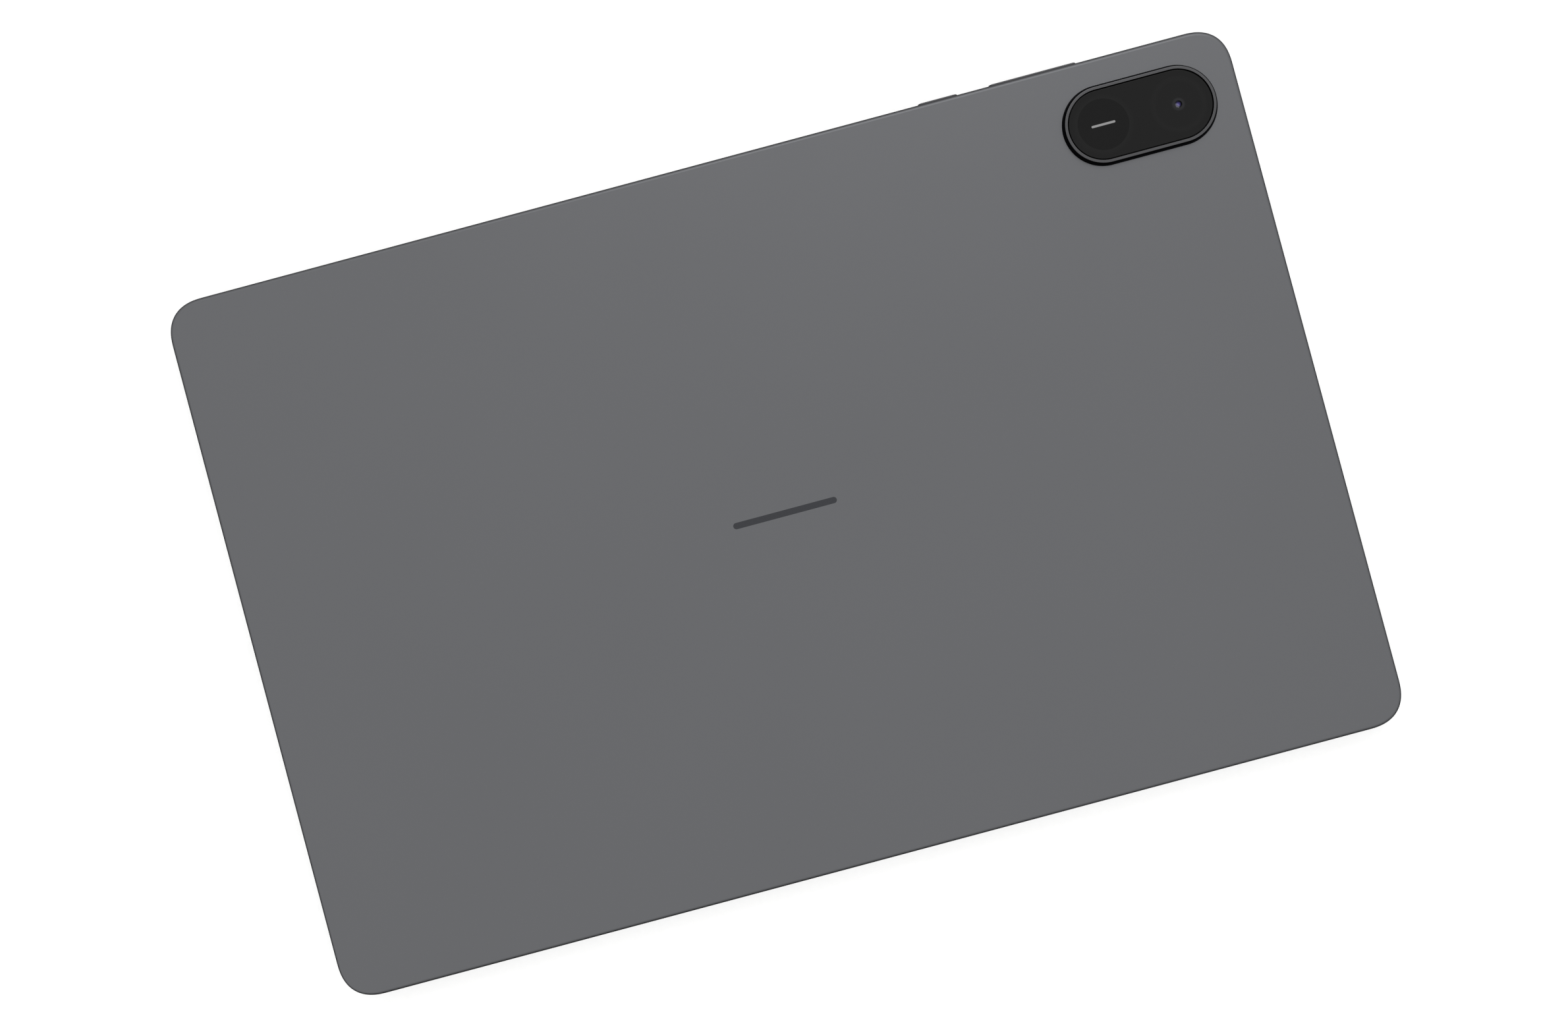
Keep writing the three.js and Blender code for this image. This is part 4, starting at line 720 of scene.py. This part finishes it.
ACTIVE_INSET, ACTIVE_CORNER = 1.2 * MM, 2.5 * MM
BEVEL = 0.2 * MM
outer, inner = cover_glass_low.z, cover_glass_high.z
border_ink, tree, shader, _ = screen_ink("black_screen_border_print", "0c0c0d", Roughness=0.6,
                                         Specular_IOR_Level=0.0)
FRONT_WINDOW = 1.1 * MM
place = add_node(tree, "ShaderNodeTexCoord")
clear = bar_mask(tree, place.outputs["Object"], front_centre, 0, FRONT_WINDOW)
opaque = add_node(tree, "ShaderNodeMath", {"operation": "SUBTRACT", 0: 1.0}, i1=clear)
tree.links.new(opaque.outputs[0], shader.inputs["Alpha"])

# Strengthened glass, polished clear, with a few faint wipe marks.
screen_glass, tree, shader = finish_material("strengthened_cover_glass", IOR=1.5, Transmission_Weight=1.0,
                                             Base_Color=colour("f8fafa"))
wiped = pattern_on(tree, "ShaderNodeTexNoise", {"Scale": 1 / (9 * MM), "Detail": 4.0})
rough = add_node(tree, "ShaderNodeMapRange", {"From Min": 0.4, "From Max": 0.8, "To Min": 0.01,
                                              "To Max": 0.05}, Value=wiped.outputs["Fac"])
tree.links.new(rough.outputs[0], shader.inputs["Roughness"])
cover_glass = loft("screen_cover_glass", [
    body_outline(glass_inset + BEVEL, outer),
    body_outline(glass_inset + EASE_BEND * BEVEL, outer + EASE_BEND * BEVEL),
    body_outline(glass_inset, outer + BEVEL), body_outline(glass_inset, inner),
    rounded_outline(panel_high.x - ACTIVE_INSET, panel_high.y - ACTIVE_INSET, ACTIVE_CORNER, inner, 2)],
    [screen_glass, border_ink], second=(3,))
place_piece(smooth(cover_glass), "tablet", "cover_glass", "cover_glass")

# Display panel, switched off: two sheets of glass with polarisers, black with a fine colour-filter
# pattern. The colour cells are 0.12 mm apart, drawn at 0.4 mm so that a trace of them shows.
CELL = 0.4 * MM
panel_finish, tree, shader = finish_material("switched_off_display", Roughness=0.18, IOR=1.5)
cells = pattern_on(tree, "ShaderNodeTexChecker", {"Scale": 1 / CELL, "Color1": colour("0a0b10"),
                                                  "Color2": colour("0d0c11")})
tree.links.new(cells.outputs["Color"], shader.inputs["Base Color"])
dress(panel_finish, "lcd_panel")

# Light guide: clear acrylic under white diffuser sheets, with rows of fine printed dots.
guide_finish, tree, shader = finish_material("acrylic_light_guide", Roughness=0.35, IOR=1.49)
dots = pattern_on(tree, "ShaderNodeTexVoronoi", {"Scale": 1 / (0.8 * MM), "Randomness": 0.0})
dot_edge = add_node(tree, "ShaderNodeMapRange", {"From Min": 0.25, "From Max": 0.35},
                    Value=dots.outputs["Distance"])
lay_finish(tree, shader, dot_edge.outputs[0], colour("ffffff"), colour("dfe5ea"))
dress(guide_finish, "light_guide")


# Rolled or drawn sheet metal: fine streaks along the rolling direction.
def rolled_sheet(name, hex_code, roughness):
    material, tree, shader = finish_material(name, Metallic=1.0)
    stretch = pattern_on(tree, "ShaderNodeMapping", {"Scale": (1, 12, 12)})
    streaks = add_node(tree, "ShaderNodeTexNoise", {"Scale": 1 / (3 * MM), "Detail": 4.0},
                       Vector=stretch.outputs["Vector"]).outputs["Fac"]
    lay_finish(tree, shader, streaks, darker(hex_code, 0.86), colour(hex_code),
               (streaks, roughness - 0.08, roughness + 0.08), (streaks, 0.1, 0.01 * MM))
    return material


mill_aluminium = rolled_sheet("mill_finish_aluminium", "c4c6c9", 0.4)
dress(mill_aluminium, "backlight_tray")

# Front camera: a small module behind the glass, its lens looking out through the border print.
front_radius = (front_high.x - front_low.x) / 2
# The front lens carries the same painted violet glint, 0.3 mm in radius, in its middle.
front_lens = turned("front_camera_front_element", Vector((front_centre.x, front_centre.y, 0)),
                    dome(front_radius, front_low.z, front_high.z, -1),
                    [lens_with_painted_glint("front_lens_with_painted_glint", front_centre, 0.3 * MM)], 32)
place_piece(front_lens, "tablet", "lens_glass", "front_camera_lens")
dress(black_moulding, "front_camera")

# ---------------------------------------------------------------- mid plate
# Die-cast magnesium plate behind the display. It stiffens the tablet and carries the screw
# bosses. Cast and lightly blasted, so it is pale grey with a soft mottled skin.

magnesium, tree, shader = finish_material("cast_magnesium", Metallic=1.0)
skin = pattern_on(tree, "ShaderNodeTexNoise", {"Scale": 1 / (1.5 * MM), "Detail": 6.0}).outputs["Fac"]
flow = pattern_on(tree, "ShaderNodeTexNoise", {"Scale": 1 / (25 * MM), "Detail": 3.0}).outputs["Fac"]
mottle = add_node(tree, "ShaderNodeMath", {"operation": "ADD"}, i0=skin, i1=flow)
spread = add_node(tree, "ShaderNodeMapRange", {"From Min": 0.7, "From Max": 1.3}, Value=mottle.outputs[0])
lay_finish(tree, shader, spread.outputs[0], colour("7f8284"), colour("a3a6a8"),
           (skin, 0.5, 0.7), (skin, 0.25, 0.03 * MM))
dress(magnesium, "mid_plate")

# ---------------------------------------------------------------- boards and shields
# Glass-epoxy boards under green solder mask, with copper tracks that show through it. Pressed
# steel cans screen the circuits, and black resin chips sit under the middle one.

solder_mask, tree, shader = finish_material("green_solder_mask", Roughness=0.32, IOR=1.5, Coat_Weight=0.4,
                                            Coat_Roughness=0.2)
TRACK_PITCH = 1.2 * MM
tracks = pattern_on(tree, "ShaderNodeTexBrick", {
    "Scale": 1.0, "Brick Width": 6 * TRACK_PITCH, "Row Height": TRACK_PITCH, "Mortar Size": 0.12 * MM,
    "Color1": colour("1f5a41"), "Color2": colour("1a5039"), "Mortar": colour("2f7a58")})
vias = pattern_on(tree, "ShaderNodeTexVoronoi", {"Scale": 1 / (2.5 * MM), "Randomness": 0.8})
via_edge = add_node(tree, "ShaderNodeMapRange", {"From Min": 0.07, "From Max": 0.1, "To Min": 1.0,
                                                 "To Max": 0.0}, Value=vias.outputs["Distance"])
tinned = add_node(tree, "ShaderNodeMix", {"data_type": "RGBA", 7: colour("b9b08a")},
                  Factor=via_edge.outputs[0], i6=tracks.outputs["Color"])
tree.links.new(tinned.outputs[2], shader.inputs["Base Color"])
bump = add_node(tree, "ShaderNodeBump", {"Strength": 0.3, "Distance": 0.02 * MM},
                Height=tracks.outputs["Fac"])
tree.links.new(bump.outputs[0], shader.inputs["Normal"])
dress(solder_mask, "main_board", "battery_board", "port_board")

stainless = rolled_sheet("pressed_stainless_steel", "b9bbbe", 0.3)
dress(stainless, "processor_shield", "radio_shield", "power_shield", "card_socket", "key_bracket",
      "microphone", "antenna_upper", "antenna_lower")
chip_resin = moulded("chip_resin", "1b1c1e", 0.45, 0.1 * MM)
dress(chip_resin, "processor", "storage_chip")

# ---------------------------------------------------------------- board screws
# Six small machine screws hold the board to the mid plate. They are cold-headed stainless
# steel, with a pan head and a cross recess, and one tree sets them on their six points.

screw_nodes = [f"board_screw_{number}" for number in range(1, 7)]
screw_low, screw_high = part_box(screw_nodes[0])
SCREW_HEAD, SCREW_SHANK, HEAD_HEIGHT, HEAD_STEPS = 2.4 * MM, 1.2 * MM, 0.45 * MM, 4
HEAD_RIM, HEAD_ROUND = 0.15 * MM, 0.3 * MM
RECESS_DEPTH, RECESS_LENGTH, RECESS_WIDTH = 0.22 * MM, 1.5 * MM, 0.32 * MM
head_foot = screw_high.z - HEAD_HEIGHT
SCREW_TIP, TIP_HEIGHT = 0.6 * SCREW_SHANK, 0.2 * MM
profile = [(SCREW_TIP / 2, screw_low.z), (SCREW_SHANK / 2, screw_low.z + TIP_HEIGHT),
           (SCREW_SHANK / 2, head_foot), (SCREW_HEAD / 2, head_foot)]
for step in range(HEAD_STEPS + 1):
    angle = step / HEAD_STEPS * math.pi / 2
    profile.append((SCREW_HEAD / 2 - HEAD_ROUND * (1 - math.cos(angle)),
                    head_foot + HEAD_RIM + HEAD_ROUND * math.sin(angle)))
pattern = turned("screw_pattern", Vector((0, 0, 0)), profile, [stainless], 28)
combine(pattern, [block("recess_slot", (-length / 2, -width / 2, screw_high.z - RECESS_DEPTH),
                        (length / 2, width / 2, screw_high.z + OVERCUT))
                  for length, width in ((RECESS_LENGTH, RECESS_WIDTH), (RECESS_WIDTH, RECESS_LENGTH))])

setting, given = new_tree("screws_on_points", screw="Object", finish="Material")
points = add_node(setting, "GeometryNodeMeshToPoints", Mesh=given["Geometry"])
end_tree(setting, copies(setting, points.outputs["Points"], given["Screw"]), given["Finish"])

screw_points = []
for node in screw_nodes:
    low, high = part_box(node)
    screw_points.append(((low.x + high.x) / 2, (low.y + high.y) / 2, 0))
screws = mesh_piece("board_screws", screw_points, [], [stainless])
repeat = screws.modifiers.new("set", "NODES")
repeat.node_group = setting
set_inputs(repeat, {"Screw": pattern, "Finish": stainless})
bake_modifiers(screws)
bpy.data.objects.remove(pattern)
place_piece(smooth(screws), "tablet", "stainless_steel", *screw_nodes)

# ---------------------------------------------------------------- battery
# Two lithium pouch cells in aluminium laminate, with a small protection board on their end,
# and a soft graphite sheet above them that spreads the heat under the back.

pouch, tree, shader = finish_material("aluminium_laminate_pouch", Metallic=1.0)
creases = pattern_on(tree, "ShaderNodeTexNoise", {"Scale": 1 / (18 * MM), "Detail": 5.0, "Distortion": 1.5})
foil = pattern_on(tree, "ShaderNodeTexNoise", {"Scale": 1 / (0.6 * MM), "Detail": 2.0})
lay_finish(tree, shader, creases.outputs["Fac"], colour("8f9295"), colour("b3b6b9"),
           (foil.outputs["Fac"], 0.3, 0.5), (creases.outputs["Fac"], 0.3, 0.2 * MM))
dress(pouch, "battery_cell_left", "battery_cell_right")
graphite = moulded("graphite_sheet", "2b2c2e", 0.55, 0.6 * MM)
dress(graphite, "graphite_sheet")

# ---------------------------------------------------------------- flexible circuits
# Amber polyimide films with copper tracks inside, which run as fine parallel lines. They are cut
# from sheet and bent, and join the boards to the display, the rear camera and the keys.

polyimide, tree, shader = finish_material("amber_polyimide_film", Roughness=0.3, IOR=1.7)
copper = pattern_on(tree, "ShaderNodeTexWave", {"bands_direction": "X", "Scale": 1 / (6 * MM)}).outputs["Fac"]
lay_finish(tree, shader, copper, colour("8a5a22"), colour("b37a36"), relief=(copper, 0.2, 0.02 * MM))
dress(polyimide, "display_flex", "rear_camera_flex", "key_flex", "link_flex")

# ---------------------------------------------------------------- charging socket
# A drawn stainless shell with a black tongue. Twelve gold-plated contacts lie along each
# face of the tongue, set by one tree.

shell_start, shell_end = socket_low.x, socket_high.x
SOCKET_SHELL, MOUTH_EASE = 0.25 * MM, 0.08 * MM


def socket_ring(inset, x):
    return stadium(Vector((x, 0, socket_middle.z)), AXES["y"], AXES["z"],
                   socket_wide - 2 * inset, socket_tall - 2 * inset)


usb_shell = loft("charging_socket_shell", [
    socket_ring(SOCKET_SHELL, shell_end - SOCKET_SHELL), socket_ring(SOCKET_SHELL, shell_start + MOUTH_EASE),
    socket_ring(SOCKET_SHELL - MOUTH_EASE, shell_start), socket_ring(MOUTH_EASE, shell_start),
    socket_ring(0, shell_start + MOUTH_EASE), socket_ring(0, shell_end)], [stainless])
place_piece(smooth(usb_shell), "tablet", "stainless_steel", "usb_socket")

tongue_low, tongue_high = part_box("usb_tongue")
place_piece(smooth(block("charging_socket_tongue", tongue_low, tongue_high, 0.15 * MM, [black_moulding])),
            "tablet", "black_moulding", "usb_tongue")

gold, tree, shader = finish_material("gold_plated_contact", Metallic=1.0)
wiped = pattern_on(tree, "ShaderNodeTexNoise", {"Scale": 1 / (0.3 * MM), "Detail": 3.0}).outputs["Fac"]
lay_finish(tree, shader, wiped, colour("c79a4e"), colour("e2bd74"), (wiped, 0.2, 0.35))

CONTACTS, CONTACT_PITCH, CONTACT_PROUD = 12, 0.5 * MM, 0.03 * MM
CONTACT_LENGTH, CONTACT_HALF, CONTACT_SETBACK = 3.2 * MM, 0.13 * MM, 0.4 * MM
CONTACT_EASE = 0.02 * MM
contact = block("contact_pattern", (0, -CONTACT_HALF, -CONTACT_PROUD),
                (CONTACT_LENGTH, CONTACT_HALF, CONTACT_PROUD), CONTACT_EASE, [gold])
contact_row, given = new_tree("contact_row", contact="Object", count="Int", start="Vector", pitch="Vector",
                              finish="Material")
line = add_node(contact_row, "GeometryNodeMeshLine", Count=given["Count"], Start_Location=given["Start"],
                Offset=given["Pitch"])
both = add_node(contact_row, "GeometryNodeJoinGeometry", Geometry=given["Geometry"])
contact_row.links.new(copies(contact_row, line.outputs["Mesh"], given["Contact"]), both.inputs[0])
end_tree(contact_row, both.outputs["Geometry"], given["Finish"])
contacts = mesh_piece("charging_socket_contacts", [], [], [gold])
first_contact = -(CONTACTS - 1) * CONTACT_PITCH / 2
for level in (tongue_low.z, tongue_high.z):
    repeat = contacts.modifiers.new("row", "NODES")
    repeat.node_group = contact_row
    set_inputs(repeat, {"Contact": contact, "Count": CONTACTS, "Pitch": (0, CONTACT_PITCH, 0), "Finish": gold,
                        "Start": (tongue_low.x + CONTACT_SETBACK, first_contact, level)})
bake_modifiers(contacts)
bpy.data.objects.remove(contact)
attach(smooth(contacts), "tablet")

# ---------------------------------------------------------------- card tray
# A slab with a pocket for the memory card behind an anodised face that closes its slot. A pin
# through the small hole in the face pushes the tray out.

TRAY_FACE_DEPTH, TRAY_FACE_MARGIN, FACE_EASE = 1.1 * MM, 0.9 * MM, 0.12 * MM
face_inside = tray_high.x - TRAY_FACE_DEPTH


def face_ring(inset, x):
    return stadium(Vector((x, tray_middle.y, tray_middle.z)), AXES["y"], AXES["z"],
                   tray_wide - 2 * inset, tray_tall - 2 * inset)


tray_face = loft("card_tray_with_face", [
    face_ring(0, face_inside), face_ring(0, tray_high.x - FACE_EASE),
    face_ring(EASE_BEND * FACE_EASE, tray_high.x - EASE_BEND * FACE_EASE),
    face_ring(FACE_EASE, tray_high.x)], [trim_finish])
TRAY_THICKNESS, TRAY_FRAME, CARD_WIDTH, EJECT_HOLE = 1.1 * MM, 0.8 * MM, 11.0 * MM, 0.9 * MM
slab_half, tray_y, tray_z = tray_wide / 2 - TRAY_FACE_MARGIN, tray_middle.y, tray_middle.z
slab = block("slab", (tray_low.x, tray_y - slab_half, tray_z - TRAY_THICKNESS / 2),
             (face_inside + TRAY_FACE_DEPTH / 2, tray_y + slab_half, tray_z + TRAY_THICKNESS / 2), 0.1 * MM)
combine(tray_face, [slab], "UNION")
pocket = block("pocket", (tray_low.x + TRAY_FRAME, tray_y - CARD_WIDTH / 2, tray_z - TRAY_THICKNESS / 4),
               (face_inside - TRAY_FRAME / 2, tray_y + CARD_WIDTH / 2, tray_z + TRAY_THICKNESS))
eject = loft("eject_hole", [
    stadium(Vector((x, tray_y + slab_half, tray_z)), AXES["y"], AXES["z"], EJECT_HOLE, EJECT_HOLE, 12)
    for x in (face_inside - OVERCUT, tray_high.x + OVERCUT)], [])
combine(tray_face, [pocket, eject])
place_piece(smooth(tray_face), "card_tray", "anodised_trim", "card_tray")

# ---------------------------------------------------------------- speakers
# Four sealed black speaker boxes behind the sound holes. Blackened steel mesh, woven from
# 0.05 mm wire, keeps dust out; its weave is drawn at 0.25 mm so that it shows.

WIRE_PITCH = 0.25 * MM
mesh_finish, tree, shader = finish_material("blackened_woven_steel", Metallic=1.0, Roughness=0.5)
warp, weft = [pattern_on(tree, "ShaderNodeTexWave", {"bands_direction": axis,
                                                     "Scale": 1 / (20 * WIRE_PITCH)}) for axis in ("Y", "Z")]
woven = add_node(tree, "ShaderNodeMath", {"operation": "MULTIPLY"}, i0=warp.outputs["Fac"],
                 i1=weft.outputs["Fac"]).outputs[0]
lay_finish(tree, shader, woven, colour("050506"), colour("4a4b4e"), relief=(woven, 0.6, 0.05 * MM))
dress(mesh_finish, *("speaker_mesh_" + place for place in SPEAKER_PLACES))
dress(black_moulding, *("speaker_" + place for place in SPEAKER_PLACES))

# They should agree, because nothing is added outside the design.

size = {"cad": [list(corner) for corner in cad_box], "visual": [list(corner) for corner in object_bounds()]}
